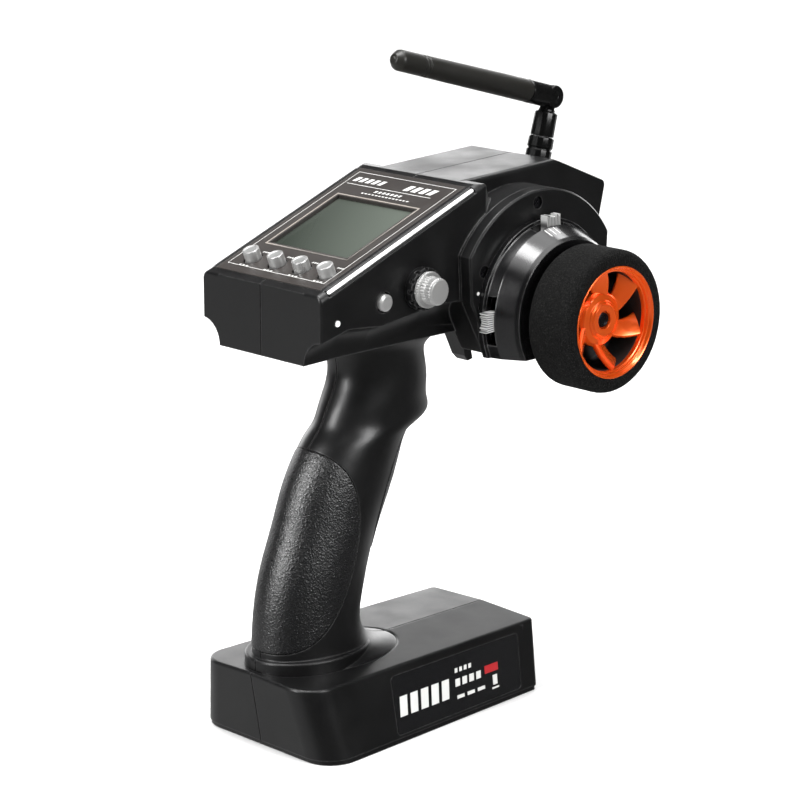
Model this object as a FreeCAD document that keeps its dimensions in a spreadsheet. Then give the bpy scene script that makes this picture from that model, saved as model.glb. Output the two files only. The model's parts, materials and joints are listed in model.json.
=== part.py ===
import FreeCAD, Part
import Sketcher
import math
import os

# Pistol-grip radio transmitter. Frame: +X is the steering-wheel side, -Y is towards the user,
# +Z is up, and the origin is the middle of the base's flat underside. All sizes are millimetres.

V = FreeCAD.Vector
X_DIR, Y_DIR, Z_DIR = V(1, 0, 0), V(0, 1, 0), V(0, 0, 1)
FAR = 400.0

doc = FreeCAD.newDocument("transmitter")
sheet = doc.addObject("Spreadsheet::Sheet", "dims")

DIMS = {
    # housing
    "wall": 2.4, "seam_gap": 0.2, "head_half": 34.8, "core_half": 24.8,
    "user_face": -58.5, "panel_foot": 191.4, "panel_tilt": 20.8,
    "notch_radius": 10.0, "belly_level": 163.0,
    # base
    "base_top_edge": 31.2, "base_ridge": 32.4, "plate_thick": 2.0,
    "user_end_low": -61.0, "user_end_high": -66.0, "far_end": 68.1,
    "user_half_low": 40.6, "user_half_high": 33.6, "far_half_low": 33.2, "far_half_high": 30.3,
    "user_corner": 13.0, "far_corner": 2.5,
    # display panel, in its own sloping frame
    "bezel_half": 30.5, "bezel_low": 4.0, "bezel_high": 89.0, "bezel_thick": 1.4,
    "window_half": 22.5, "window_low": 27.3, "window_high": 67.3,
    "key_radius": 3.85, "key_row": 14.5, "key_pitch": 14.4, "key_first": -19.2, "key_height": 4.6,
    "board_depth": 10.6, "board_thick": 1.6,
    # steering
    "wheel_y": 57.6, "wheel_z": 170.8, "tyre_radius": 29.3, "tyre_bore": 22.5,
    "tyre_back": 60.6, "tyre_front": 82.6, "rim_front": 83.0, "hub_radius": 9.2,
    "shaft_radius": 3.0, "shaft_start": 14.0, "shaft_end": 74.0, "bearing_radius": 6.0,
    "plate_back": 36.0, "plate_front": 41.5, "disc_radius": 48.7, "shield_level": 155.0,
    "shield_back_radius": 35.6, "shield_front_radius": 30.7, "shield_front": 58.0,
    "run_gap": 0.05, "clear_gap": 0.3,
    # trigger
    "trigger_y": 48.0, "trigger_z": 178.0, "trigger_half": 6.4, "pin_radius": 2.0,
    # dial and side key
    "dial_y": -5.0, "dial_z": 187.0, "dial_flange": 7.4, "dial_grip": 6.3, "dial_cap": 5.3,
    "side_key_y": -24.8, "side_key_radius": 3.9, "side_key_z": 184.2,
    # antenna
    "joint_y": 106.3, "joint_z": 247.8, "stem_tilt": 15.0, "stem_radius": 4.9,
    "whip_root_radius": 5.0, "whip_tip_radius": 4.4, "whip_length": 95.9,
    # battery
    "cell_radius": 7.2, "cell_length": 50.0, "cell_pitch": 14.7, "cell_first": -17.4,
    "cell_level": 11.2,
}
for row, (alias, value) in enumerate(DIMS.items(), start=1):
    sheet.set(f"A{row}", alias)
    sheet.set(f"B{row}", str(value))
    sheet.setAlias(f"B{row}", alias)
doc.recompute()

nodes = []


def size(alias):
    """A driving dimension, read from the sheet."""
    return float(sheet.get(alias))


def node(label, thing):
    """Names a finished sub-part and lists it for writing out."""
    thing.Label = label
    nodes.append(thing)
    return thing


def feature(label, shape, placement=None):
    """A sub-part whose shape is worked out directly, for free-form shells and grouped pieces."""
    thing = doc.addObject("Part::Feature", label)
    thing.Shape = shape
    if placement is not None:
        thing.Placement = placement
    return node(label, thing)


def box(x_span, y_span, z_span):
    """A block between two limits along each axis."""
    lows = V(x_span[0], y_span[0], z_span[0])
    return Part.makeBox(x_span[1] - x_span[0], y_span[1] - y_span[0], z_span[1] - z_span[0], lows)


def rod(radius, start, end):
    """A round bar between two points."""
    run = end - start
    return Part.makeCylinder(radius, run.Length, start, run)


def rod_x(radius, x_span, y, z):
    """A round bar along X."""
    return rod(radius, V(x_span[0], y, z), V(x_span[1], y, z))


def tube_x(outer, inner, x_span, y, z):
    """A round tube along X."""
    longer = (x_span[0] - 1, x_span[1] + 1)
    return rod_x(outer, x_span, y, z).cut(rod_x(inner, longer, y, z))


def union(shapes):
    """Joins overlapping solids into one."""
    joined = shapes[0].multiFuse(shapes[1:]) if len(shapes) > 1 else shapes[0]
    return joined.removeSplitter()


def closed_wire(points):
    return Part.makePolygon([*points, points[0]])


def prism_x(outline, x_span, inset=0.0):
    """A side outline of (y, z) points, extruded along X and optionally inset all round."""
    wire = closed_wire([V(x_span[0], y, z) for y, z in outline])
    if inset:
        wire = wire.makeOffset2D(-inset, 2)
    return Part.Face(wire).extrude(V(x_span[1] - x_span[0], 0, 0))


def rounded_wire(corners, radii, level):
    """A closed outline in a level plane, each corner turned by its own radius."""
    count = len(corners)
    starts, ends, arcs = [], [], []
    for i, (x, y) in enumerate(corners):
        here = V(x, y, level)
        back = V(*corners[i - 1], level) - here
        ahead = V(*corners[(i + 1) % count], level) - here
        half_angle = back.getAngle(ahead) / 2
        back.normalize()
        ahead.normalize()
        reach = radii[i] / math.tan(half_angle)
        towards = back + ahead
        towards.normalize()
        middle = here + towards * (radii[i] / math.sin(half_angle) - radii[i])
        starts.append(here + back * reach)
        ends.append(here + ahead * reach)
        arcs.append(Part.Arc(starts[i], middle, ends[i]).toShape())
    edges = []
    for i in range(count):
        edges.append(arcs[i])
        edges.append(Part.LineSegment(ends[i], starts[(i + 1) % count]).toShape())
    return Part.Wire(edges)


def path_wire(points):
    """Straight runs joined by tangent arcs, as a cable lies."""
    edges = []
    start = points[0]
    for before, corner, after in zip(points, points[1:], points[2:]):
        back, ahead = before - corner, after - corner
        shorter = min(back.Length, ahead.Length)
        half_turn = (math.pi - back.getAngle(ahead)) / 2
        reach = 0.45 * shorter
        radius = reach / math.tan(half_turn)
        back.normalize()
        ahead.normalize()
        inward = back + ahead
        inward.normalize()
        centre_offset = radius / math.cos(half_turn)
        arc_start, arc_end = corner + back * reach, corner + ahead * reach
        arc_middle = corner + inward * (centre_offset - radius)
        edges.append(Part.LineSegment(start, arc_start).toShape())
        edges.append(Part.Arc(arc_start, arc_middle, arc_end).toShape())
        start = arc_end
    edges.append(Part.LineSegment(start, points[-1]).toShape())
    return Part.Wire(edges)


def cable(radius, points):
    """A round cable along a route."""
    path = path_wire(points)
    run = points[1] - points[0]
    section = Part.Wire(Part.makeCircle(radius, points[0], run))
    return path.makePipeShell([section], True, False)


def coil_x(coil_radius, wire_radius, x_span, turns, y, z):
    """A wound spring along X."""
    pitch = (x_span[1] - x_span[0]) / turns
    helix = Part.makeHelix(pitch, x_span[1] - x_span[0], coil_radius)
    section = Part.Wire(Part.makeCircle(wire_radius, V(coil_radius, 0, 0), Y_DIR))
    spring = Part.Wire(helix.Edges).makePipeShell([section], True, True)
    spring.Placement = FreeCAD.Placement(V(x_span[0], y, z), FreeCAD.Rotation(Z_DIR, X_DIR))
    return spring


def spiral_x(first_radius, band, pitch, half_turns, x_span, y, z):
    """A flat spiral spring round an X axis: a band of half circles about two centres by turns."""
    shift = pitch / 4

    def half_circle(k, extra):
        radius = first_radius + k * pitch / 2 + extra
        side = 1 if k % 2 == 0 else -1
        centre = y - side * shift
        return [V(x_span[0], centre + side * radius, z), V(x_span[0], centre, z + side * radius),
                V(x_span[0], centre - side * radius, z)]

    inner = [half_circle(k, 0.0) for k in range(half_turns)]
    outer = [half_circle(k, band) for k in range(half_turns)]
    edges = [Part.Arc(*arc).toShape() for arc in inner]
    edges.append(Part.LineSegment(inner[-1][2], outer[-1][2]).toShape())
    edges += [Part.Arc(*arc[::-1]).toShape() for arc in outer[::-1]]
    edges.append(Part.LineSegment(outer[0][0], inner[0][0]).toShape())
    return Part.Face(Part.Wire(edges)).extrude(V(x_span[1] - x_span[0], 0, 0))


# ---- PartDesign helpers -------------------------------------------------------------------

def origin_item(body, role):
    return next(item for item in body.Origin.OriginFeatures if item.Role == role)


def new_body(label):
    body = doc.addObject("PartDesign::Body", label)
    return node(label, body)


def sketch_on(body, role, name, offset=0.0):
    """An empty sketch on one of the body's own origin planes."""
    sketch = body.newObject("Sketcher::SketchObject", name)
    sketch.AttachmentSupport = (origin_item(body, role), [""])
    sketch.MapMode = "FlatFace"
    sketch.AttachmentOffset = FreeCAD.Placement(V(0, 0, offset), FreeCAD.Rotation())
    return sketch


def outline(sketch, points):
    """Closes a loop through (a, b) points; a third number on a point makes an arc through it."""
    count = len(points)
    i = 0
    while i < count:
        start = points[i]
        following = points[(i + 1) % count]
        if len(following) == 3:
            end = points[(i + 2) % count]
            sketch.addGeometry(Part.Arc(V(*start[:2]), V(*following[:2]), V(*end[:2])), False)
            i += 2
        else:
            sketch.addGeometry(Part.LineSegment(V(*start[:2]), V(*following[:2])), False)
            i += 1
    return sketch


def circle(sketch, centre, radius_cell):
    """A circle whose radius is tied to the sheet."""
    index = sketch.addGeometry(Part.Circle(V(*centre, 0), Z_DIR, 1.0), False)
    constraint = sketch.addConstraint(Sketcher.Constraint("Radius", index, 1.0))
    sketch.setExpression(f"Constraints[{constraint}]", radius_cell)
    return index


def pad(body, sketch, name, length, both_ways=False, reverse=False):
    made = body.newObject("PartDesign::Pad", name)
    made.Profile = sketch
    made.setExpression("Length", length)
    made.Midplane = both_ways
    made.Reversed = reverse
    return made


def pocket(body, sketch, name, length, both_ways=False, reverse=False):
    made = body.newObject("PartDesign::Pocket", name)
    made.Profile = sketch
    made.setExpression("Length", length)
    made.Midplane = both_ways
    made.Reversed = reverse
    return made


def spin(body, sketch, name, kind="Revolution"):
    """Turns a sketch of (axial, radial) points about the body's X axis."""
    made = body.newObject(f"PartDesign::{kind}", name)
    made.Profile = sketch
    made.ReferenceAxis = (origin_item(body, "X_Axis"), [""])
    made.Angle = 360.0
    return made


def around_x(body, original, name, count):
    """Repeats a feature round the body's X axis."""
    made = body.newObject("PartDesign::PolarPattern", name)
    made.Originals = [original]
    made.Axis = (origin_item(body, "X_Axis"), [""])
    made.Angle = 360.0
    made.Occurrences = count
    body.Tip = made
    return made


WALL = size("wall")
HEAD_HALF = size("head_half")
CORE_HALF = size("core_half")
USER_FACE = size("user_face")
PANEL_FOOT = size("panel_foot")
TILT = math.radians(size("panel_tilt"))
BELLY = size("belly_level")
WHEEL_Y, WHEEL_Z = size("wheel_y"), size("wheel_z")
TRIGGER_Y, TRIGGER_Z = size("trigger_y"), size("trigger_z")
DIAL_Y, DIAL_Z = size("dial_y"), size("dial_z")
SIDE_KEY_Y, SIDE_KEY_Z = size("side_key_y"), size("side_key_z")
RUN, CLEAR = size("run_gap"), size("clear_gap")
PLATE_BACK, PLATE_FRONT = size("plate_back"), size("plate_front")

PANEL = FreeCAD.Placement(V(0, USER_FACE, PANEL_FOOT), FreeCAD.Rotation(X_DIR, size("panel_tilt")))


def panel_box(x_span, s_span, n_span):
    """A block in the display's frame: across, up the slope, and out of the face."""
    made = box(x_span, s_span, n_span)
    made.Placement = PANEL
    return made


def panel_rod(radius, x, s, n_span):
    """A round bar square to the display."""
    made = rod(radius, V(x, s, n_span[0]), V(x, s, n_span[1]))
    made.Placement = PANEL
    return made


KEY_PLACES = [size("key_first") + size("key_pitch") * i for i in range(4)]
KEY_ROW = size("key_row")

# ---- head -----------------------------------------------------------------------------------

SLOPE_TOP = (27.5, PANEL_FOOT + (27.5 - USER_FACE) * math.tan(TILT))
CORE_SIDE = [
    (USER_FACE, 162.5), (USER_FACE, PANEL_FOOT), SLOPE_TOP, (83.0, 226.6), (114.8, 213.5),
    (111.3, 199.0), (104.5, 174.0), (97.0, BELLY), (-38.0, BELLY),
]
WING_LOW = [(USER_FACE, 172.5), (-43.0, 176.3), (-26.0, 174.8), (-3.0, 177.7), (3.0, 178.8)]
WING_SIDE = [
    *[(y, z - size("notch_radius")) for y, z in WING_LOW], (24.0, 166.0), (47.0, 166.0),
    (47.0, 215.0), (36.5, 217.5), (31.5, SLOPE_TOP[1]), SLOPE_TOP, (USER_FACE, PANEL_FOOT),
]


def disc_outline(inset=0.0):
    """The steering housing's side outline: a round top over straight cheeks and a flat foot."""
    radius = size("disc_radius") - inset
    cheek = 41.2 - inset
    corner_z = WHEEL_Z + math.sqrt(radius ** 2 - cheek ** 2)
    foot = size("shield_level") + inset
    left, right = WHEEL_Y - cheek, WHEEL_Y + cheek
    edges = [
        Part.Arc(V(0, left, corner_z), V(0, WHEEL_Y, WHEEL_Z + radius), V(0, right, corner_z)),
        Part.LineSegment(V(0, right, corner_z), V(0, right - 1, 178)),
        Part.LineSegment(V(0, right - 1, 178), V(0, right - 13, foot)),
        Part.LineSegment(V(0, right - 13, foot), V(0, left + 13, foot)),
        Part.LineSegment(V(0, left + 13, foot), V(0, left + 1, 178)),
        Part.LineSegment(V(0, left + 1, 178), V(0, left, corner_z)),
    ]
    return Part.Wire([edge.toShape() for edge in edges])


def disc_prism(x_span, inset=0.0):
    prism = Part.Face(disc_outline(inset)).extrude(V(x_span[1] - x_span[0], 0, 0))
    prism.translate(V(x_span[0], 0, 0))
    return prism


def notch_cutter(radius):
    """Round-bottomed channels under both wings, following the side walls' lower edge."""
    pieces = []
    drop = size("notch_radius")
    route = [(WING_LOW[0][0] - 5, WING_LOW[0][1] - 1.2), *WING_LOW[1:], (70.0, 176.0)]
    for side in (-HEAD_HALF, HEAD_HALF):
        points = [V(side, y, z - drop) for y, z in route]
        for start, end in zip(points, points[1:]):
            pieces.append(rod(radius, start, end))
        for point in points[1:-1]:
            pieces.append(Part.makeSphere(radius, point))
    return pieces[0].multiFuse(pieces[1:])


def taper_cutter(inset=0.0):
    """Wedges that narrow the wings, in plan, to the forward deck's width."""
    wedges = []
    for side in (-1, 1):
        corners = [V(side * (HEAD_HALF + 1 - inset), 30.5, 100), V(side * (CORE_HALF - inset), 46.5, 100),
                   V(side * (CORE_HALF - inset), 80, 100), V(side * 60, 80, 100), V(side * 60, 30.5, 100)]
        wedges.append(Part.Face(closed_wire(corners)).extrude(V(0, 0, 200)))
    return wedges


def round_edges(solid, radius, wanted):
    """Rounds the straight edges that a test picks out."""
    chosen = [edge for edge in solid.Edges if wanted(edge)]
    return solid.makeFillet(radius, chosen)


def along_slope(edge):
    ends = [vertex.Point for vertex in edge.Vertexes]
    rise = abs(ends[0].z - ends[1].z)
    return abs(rise - (SLOPE_TOP[1] - PANEL_FOOT)) < 0.5 and abs(ends[0].x) > HEAD_HALF - 0.1


def on_user_face(edge):
    ends = [vertex.Point for vertex in edge.Vertexes]
    flat = all(abs(point.y - USER_FACE) < 0.01 for point in ends)
    return flat and abs(ends[0].z - ends[1].z) > 5


def make_head():
    """The head's outer form and its hollow, before the two halves are parted."""
    wings = prism_x(WING_SIDE, (-HEAD_HALF, HEAD_HALF))
    wings = round_edges(wings, 3.0, along_slope)
    wings = round_edges(wings, 1.2, on_user_face)
    wings = wings.cut([notch_cutter(size("notch_radius")), *taper_cutter()])
    core = prism_x(CORE_SIDE, (-CORE_HALF, CORE_HALF))
    deck_edges = [e for e in core.Edges if e.BoundBox.ZMin > 223 and e.BoundBox.YLength > 20]
    core = core.makeFillet(2.0, deck_edges)
    nose_edges = [e for e in core.Edges if e.BoundBox.YMin > 114.7 and e.BoundBox.XLength > 20]
    core = core.makeFillet(2.6, nose_edges)
    skirt = disc_prism((CORE_HALF - 1, PLATE_BACK))
    outer = wings.multiFuse([core, skirt])
    hollow_wings = prism_x(WING_SIDE, (-HEAD_HALF + WALL, HEAD_HALF - WALL), WALL)
    hollow_wings = hollow_wings.cut([notch_cutter(size("notch_radius") + WALL), *taper_cutter(WALL)])
    hollow_core = prism_x(CORE_SIDE, (-CORE_HALF + WALL, CORE_HALF - WALL), WALL)
    hollow_skirt = disc_prism((CORE_HALF, PLATE_BACK + 1), WALL)
    hollow = hollow_wings.multiFuse([hollow_core, hollow_skirt])
    return outer.cut(hollow)


def half(solid, side):
    """One moulded half: the solid on one side of the middle seam."""
    gap = size("seam_gap") / 2
    span = (gap, FAR) if side > 0 else (-FAR, -gap)
    return solid.common(box(span, (-FAR, FAR), (-FAR, FAR)))


def biggest(shape):
    """The main solid of a boolean's result, leaving out any crumbs."""
    return max(shape.Solids, key=lambda solid: solid.Volume)


def section_wire(level, middle, half_x, half_y):
    """An oval section of the handle."""
    if half_y >= half_x:
        oval = Part.Ellipse(V(0, middle + half_y, level), V(half_x, middle, level),
                            V(0, middle, level))
    else:
        oval = Part.Ellipse(V(half_x, middle, level), V(0, middle + half_y, level),
                            V(0, middle, level))
    return Part.Wire(oval.toShape())


# level, middle along Y, half width, half depth: a foot that flares forward, a leaning palm
# swell, a finger ledge under the trigger and a neck that opens into the head
HANDLE = [
    (31.0, -25.5, 22.6, 38.0), (33.5, -29.5, 20.4, 32.8), (37.5, -33.2, 18.8, 27.8),
    (44.0, -35.3, 18.0, 25.2), (56.0, -34.4, 17.6, 25.0), (72.0, -30.4, 17.6, 25.2),
    (88.0, -24.2, 17.5, 25.2), (104.0, -17.4, 17.4, 26.2), (116.0, -11.8, 17.2, 24.9),
    (122.0, -7.6, 17.2, 24.5), (129.0, 1.4, 17.4, 27.5), (134.5, 2.2, 17.4, 25.6),
    (141.0, 3.8, 17.4, 23.8),
    (150.0, 4.2, 17.6, 22.0), (158.0, 3.2, 19.2, 23.2), (BELLY, 1.0, 22.6, 26.6),
]


def handle_form(grow=0.0):
    wires = [section_wire(z, y, a + grow, b + grow) for z, y, a, b in HANDLE]
    return Part.makeLoft(wires, True, False)


def oval_post(level, middle, half_x, half_y, height):
    return Part.Face(section_wire(level, middle, half_x, half_y)).extrude(V(0, 0, height))


def side_oval(middle_y, middle_z, half_tall, half_wide, lean):
    """An oval post along X, leaning forward with the handle."""
    angle = math.radians(lean)
    middle = V(-HEAD_HALF, middle_y, middle_z)
    tall = V(0, math.sin(angle), math.cos(angle)) * half_tall
    wide = V(0, -math.cos(angle), math.sin(angle)) * half_wide
    curve = Part.Ellipse(middle + tall, middle + wide, middle)
    return Part.Face(Part.Wire(curve.toShape())).extrude(V(2 * HEAD_HALF, 0, 0))


# ---- openings and seats cut from the head ----------------------------------------------------

BOARD_LOW = -size("board_depth")
TRIM_TILT = 45.0
STEM = V(0, math.sin(math.radians(size("stem_tilt"))), math.cos(math.radians(size("stem_tilt"))))
JOINT = V(0, size("joint_y"), size("joint_z"))
COLLAR_TOP, COLLAR_LOW, CONNECTOR_LOW = -17.4, -33.0, -44.0
HOUSING_SCREWS = [(WHEEL_Y - 2.2, WHEEL_Z + 43.4), (WHEEL_Y - 33.0, 190.0), (WHEEL_Y + 33.0, 190.0)]
HEAD_SCREWS = [(-46.0, 184.0), (16.0, 182.0), (90.0, 206.0), (90.0, 180.0)]


def stem_point(along):
    """A point on the antenna stem's axis, measured up from the fold joint."""
    return JOINT + STEM * along


def edge_strip(side):
    """A light trim strip let into the rounded edge of the display slope."""
    strip = box((-1.6, 1.6), (4.0, 90.0), (-0.9, 0.1))
    turn = FreeCAD.Placement(V(0, 0, 0), FreeCAD.Rotation(Y_DIR, side * TRIM_TILT))
    seat = FreeCAD.Placement(V(side * (HEAD_HALF - 0.95), 0, -0.85), FreeCAD.Rotation())
    strip.Placement = PANEL.multiply(seat).multiply(turn)
    return strip


def screw(head_radius, shank_radius, head_top, direction, head_depth, length):
    """A cap screw with a cross-driven head, its head's top at a point, pointing along a line."""
    head = Part.makeCylinder(head_radius, head_depth, head_top, direction)
    shank = Part.makeCylinder(shank_radius, length, head_top, direction)
    made = head.fuse(shank)
    across = direction.cross(Z_DIR) if abs(direction.z) < 0.5 else X_DIR
    for turn in (0, 90):
        blade = Part.makeBox(head_radius * 1.2, 0.6, 0.7, V(-head_radius * 0.6, -0.3, 0))
        blade.rotate(V(0, 0, 0), Z_DIR, turn + 45)
        blade.Placement = FreeCAD.Placement(head_top, FreeCAD.Rotation(Z_DIR, direction)).multiply(
            blade.Placement)
        made = made.cut(blade)
    return made


def slot_box():
    reach = size("trigger_half") + 1.4
    return box((-reach, reach), (31.0, 86.0), (BELLY - 1, BELLY + WALL + 4))


def head_cutters():
    """Everything let into or passing through the head's walls."""
    made = [
        panel_box((-size("bezel_half"), size("bezel_half")),
                  (size("bezel_low"), size("bezel_high")), (-size("bezel_thick"), 3)),
        panel_box((-29.0, 29.0), (7.0, 86.0), (-6, 3)),
        edge_strip(-1),
        edge_strip(1),
        rod_x(size("dial_cap") - 1.0, (20, 40), DIAL_Y, DIAL_Z),
        rod_x(size("side_key_radius") + CLEAR, (24, 40), SIDE_KEY_Y, SIDE_KEY_Z),
        rod_x(1.25, (24, 40), -49.8, 179.7),
        rod_x(5.0, (CORE_HALF - 4, CORE_HALF + 4), WHEEL_Y, WHEEL_Z),
        slot_box(),
        box((-HEAD_HALF - 1, -HEAD_HALF + WALL + 1), (-24.5, -11.5), (186.5, 192.5)),
        rod(5.6, stem_point(COLLAR_LOW), stem_point(0)),
        rod(3.2, stem_point(CONNECTOR_LOW + 3), stem_point(0)),
        oval_post(BELLY - 1, 1.0, 18.0, 21.0, WALL + 2),
    ]
    for y, z in HEAD_SCREWS:
        at_wall = -HEAD_HALF if y < 40 else -CORE_HALF
        made.append(rod_x(2.8, (at_wall - 1, at_wall + 1.2), y, z))
        made.append(rod_x(1.3, (at_wall, at_wall + 6.0), y, z))
    return made


head = make_head()
cutters = head_cutters()
for label, side in (("head_shell_left", -1), ("head_shell_right", 1)):
    feature(label, biggest(half(head, side).cut(cutters)))

# ---- display stack ---------------------------------------------------------------------------


def panel_body(label):
    body = new_body(label)
    body.Placement = PANEL
    return body


def rectangle(sketch, x_low, x_high, y_low, y_high):
    return outline(sketch, [(x_low, y_low), (x_high, y_low), (x_high, y_high), (x_low, y_high)])


def make_bezel():
    body = panel_body("display_bezel")
    face = sketch_on(body, "XY_Plane", "bezel_outline", -size("bezel_thick"))
    edge, low, high = size("bezel_half"), size("bezel_low"), size("bezel_high")
    rectangle(face, -edge, edge, low, high)
    pad(body, face, "bezel_plate", "dims.bezel_thick + 0.2")
    cut = sketch_on(body, "XY_Plane", "bezel_openings", 0.2)
    rectangle(cut, -size("window_half"), size("window_half"), size("window_low"), size("window_high"))
    for x in KEY_PLACES:
        circle(cut, (x, KEY_ROW), "dims.key_radius + dims.clear_gap")
    pocket(body, cut, "bezel_windows", "dims.bezel_thick + 1")


make_bezel()
feature("display_lens", panel_box((-24.5, 24.5), (25.5, 69.0), (-2.6, -size("bezel_thick"))))
feature("lcd_module", panel_box((-26.0, 26.0), (23.0, 72.0), (-7.0, -2.8)))
feature("edge_trim_strips", Part.makeCompound([edge_strip(-1), edge_strip(1)]))


def make_board():
    """The main board, a drilled rectangle under the display."""
    body = panel_body("main_board")
    face = sketch_on(body, "XY_Plane", "board_outline", BOARD_LOW)
    rectangle(face, -30.0, 30.0, 8.0, 84.0)
    for x, s in ((-26, 12), (26, 12), (-26, 80), (26, 80)):
        circle(face, (x, s), "dims.key_radius / 3")
    pad(body, face, "board", "dims.board_thick")


make_board()
BOARD_FACE = BOARD_LOW + size("board_thick")
feature("key_switches", Part.makeCompound([
    panel_box((x - 3, x + 3), (KEY_ROW - 3, KEY_ROW + 3), (BOARD_FACE, -6.4)).fuse(
        panel_rod(1.7, x, KEY_ROW, (-6.5, -5.6))) for x in KEY_PLACES]))
for i, x in enumerate(KEY_PLACES, start=1):
    key = new_body(f"display_key_{i}")
    key.Placement = PANEL.multiply(FreeCAD.Placement(V(x, KEY_ROW, 0), FreeCAD.Rotation()))
    flange = sketch_on(key, "XY_Plane", f"key_flange_{i}", -3.2)
    circle(flange, (0, 0), "dims.key_radius + 0.6")
    pad(key, flange, f"key_flange_pad_{i}", "dims.clear_gap * 4")
    cap = sketch_on(key, "XY_Plane", f"key_cap_{i}", -3.2)
    circle(cap, (0, 0), "dims.key_radius")
    pad(key, cap, f"key_cap_pad_{i}", "dims.key_height + 3.2")
    stem = sketch_on(key, "XY_Plane", f"key_stem_{i}", -3.2)
    circle(stem, (0, 0), "dims.key_radius / 2")
    pad(key, stem, f"key_stem_pad_{i}", "dims.clear_gap * 4.5", reverse=True)

# ---- side key, indicator, dial and power switch ----------------------------------------------

side_key = rod_x(size("side_key_radius"), (31.0, HEAD_HALF + 2.0), SIDE_KEY_Y, SIDE_KEY_Z)
side_flange = rod_x(size("side_key_radius") + 1.2, (30.6, 31.8), SIDE_KEY_Y, SIDE_KEY_Z)
feature("side_key", side_key.fuse(side_flange))
feature("side_key_switch", box((24.5, 28.0), (SIDE_KEY_Y - 3, SIDE_KEY_Y + 3),
                               (SIDE_KEY_Z - 3, SIDE_KEY_Z + 3)).fuse(
    rod_x(1.5, (27.5, 29.2), SIDE_KEY_Y, SIDE_KEY_Z)))
feature("indicator_light_pipe", rod_x(1.25, (29.5, HEAD_HALF + 0.3), -49.8, 179.7))


def x_body(label, y, z):
    """A body whose own X axis is a line along X through the given place."""
    body = new_body(label)
    body.Placement = FreeCAD.Placement(V(0, y, z), FreeCAD.Rotation())
    return body


def make_dial():
    knob = x_body("dial_knob", DIAL_Y, DIAL_Z)
    profile = sketch_on(knob, "XZ_Plane", "dial_profile")
    flange, grip, cap = size("dial_flange"), size("dial_grip"), size("dial_cap")
    outline(profile, [
        (24.0, 0), (45.4, 0), (46.0, cap - 2.4), (45.6, cap - 0.6), (44.9, cap), (43.2, cap),
        (43.0, grip - 0.3), (42.7, grip), (40.6, grip), (40.4, flange - 0.2), (40.1, flange),
        (39.2, flange), (39.0, flange - 0.3), (39.0, 3.0), (24.0, 3.0),
    ])
    spin(knob, profile, "dial_turned")
    rib = sketch_on(knob, "YZ_Plane", "dial_rib", 40.8)
    outline(rib, [(-0.35, grip - 0.5), (0.35, grip - 0.5), (0.5, grip + 1.0), (-0.5, grip + 1.0)])
    groove = pocket(knob, rib, "dial_groove", "dims.clear_gap * 6", reverse=True)
    around_x(knob, groove, "dial_grooves", 28)


make_dial()
collar = tube_x(8.6, 4.6, (HEAD_HALF, 38.6), DIAL_Y, DIAL_Z)
for i in range(12):
    tooth = box((36.6, 39), (DIAL_Y - 0.8, DIAL_Y + 0.8), (DIAL_Z + 7.6, DIAL_Z + 9))
    tooth.rotate(V(0, DIAL_Y, DIAL_Z), X_DIR, 30 * i)
    collar = collar.cut(tooth)
feature("dial_collar", collar)
feature("dial_sensor", tube_x(6.2, 3.0 + RUN, (22.8, 31.6), DIAL_Y, DIAL_Z).fuse(
    tube_x(4.1, 3.0 + RUN, (31.0, 34.6), DIAL_Y, DIAL_Z)))

SWITCH_Y, SWITCH_Z = -18.0, 189.5
feature("power_switch_body", box((-31.8, -25.0), (SWITCH_Y - 6, SWITCH_Y + 6),
                                 (SWITCH_Z - 3, SWITCH_Z + 3)).cut(
    box((-33, -28.5), (SWITCH_Y - 5, SWITCH_Y + 5), (SWITCH_Z - 2, SWITCH_Z + 2))))
feature("power_switch_slider", box((-HEAD_HALF - 1.6, -28.8), (SWITCH_Y - 4.4, SWITCH_Y - 0.6),
                                   (SWITCH_Z - 1.6, SWITCH_Z + 1.6)))

# ---- steering housing and its fixed pieces ----------------------------------------------------

SHIELD_START, SHIELD_END = PLATE_FRONT, size("shield_front")
BEARING = size("bearing_radius")


def make_plate():
    """The flat side plate that carries the inner bearing."""
    plate = disc_prism((PLATE_BACK, PLATE_FRONT))
    rim_edges = [edge for edge in plate.Edges if edge.BoundBox.XMin > PLATE_FRONT - 0.01]
    plate = plate.makeChamfer(0.7, rim_edges)
    holes = [rod_x(BEARING, (PLATE_BACK - 1, PLATE_FRONT + 1), WHEEL_Y, WHEEL_Z)]
    for y, z in HOUSING_SCREWS:
        holes.append(rod_x(2.6, (PLATE_FRONT - 3.0, PLATE_FRONT + 1), y, z))
        holes.append(rod_x(1.3, (PLATE_BACK - 1, PLATE_FRONT + 1), y, z))
    return plate.cut(holes)


feature("steering_housing_plate", make_plate())


def turned_x(profile):
    """A solid turned about the steering axis from (x, radius) points."""
    face = Part.Face(closed_wire([V(x, 0, radius) for x, radius in profile]))
    solid = face.revolve(V(0, 0, 0), X_DIR, 360)
    solid.translate(V(0, WHEEL_Y, WHEEL_Z))
    return solid


def above(level):
    return box((-FAR, FAR), (-FAR, FAR), (level, FAR))


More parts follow.
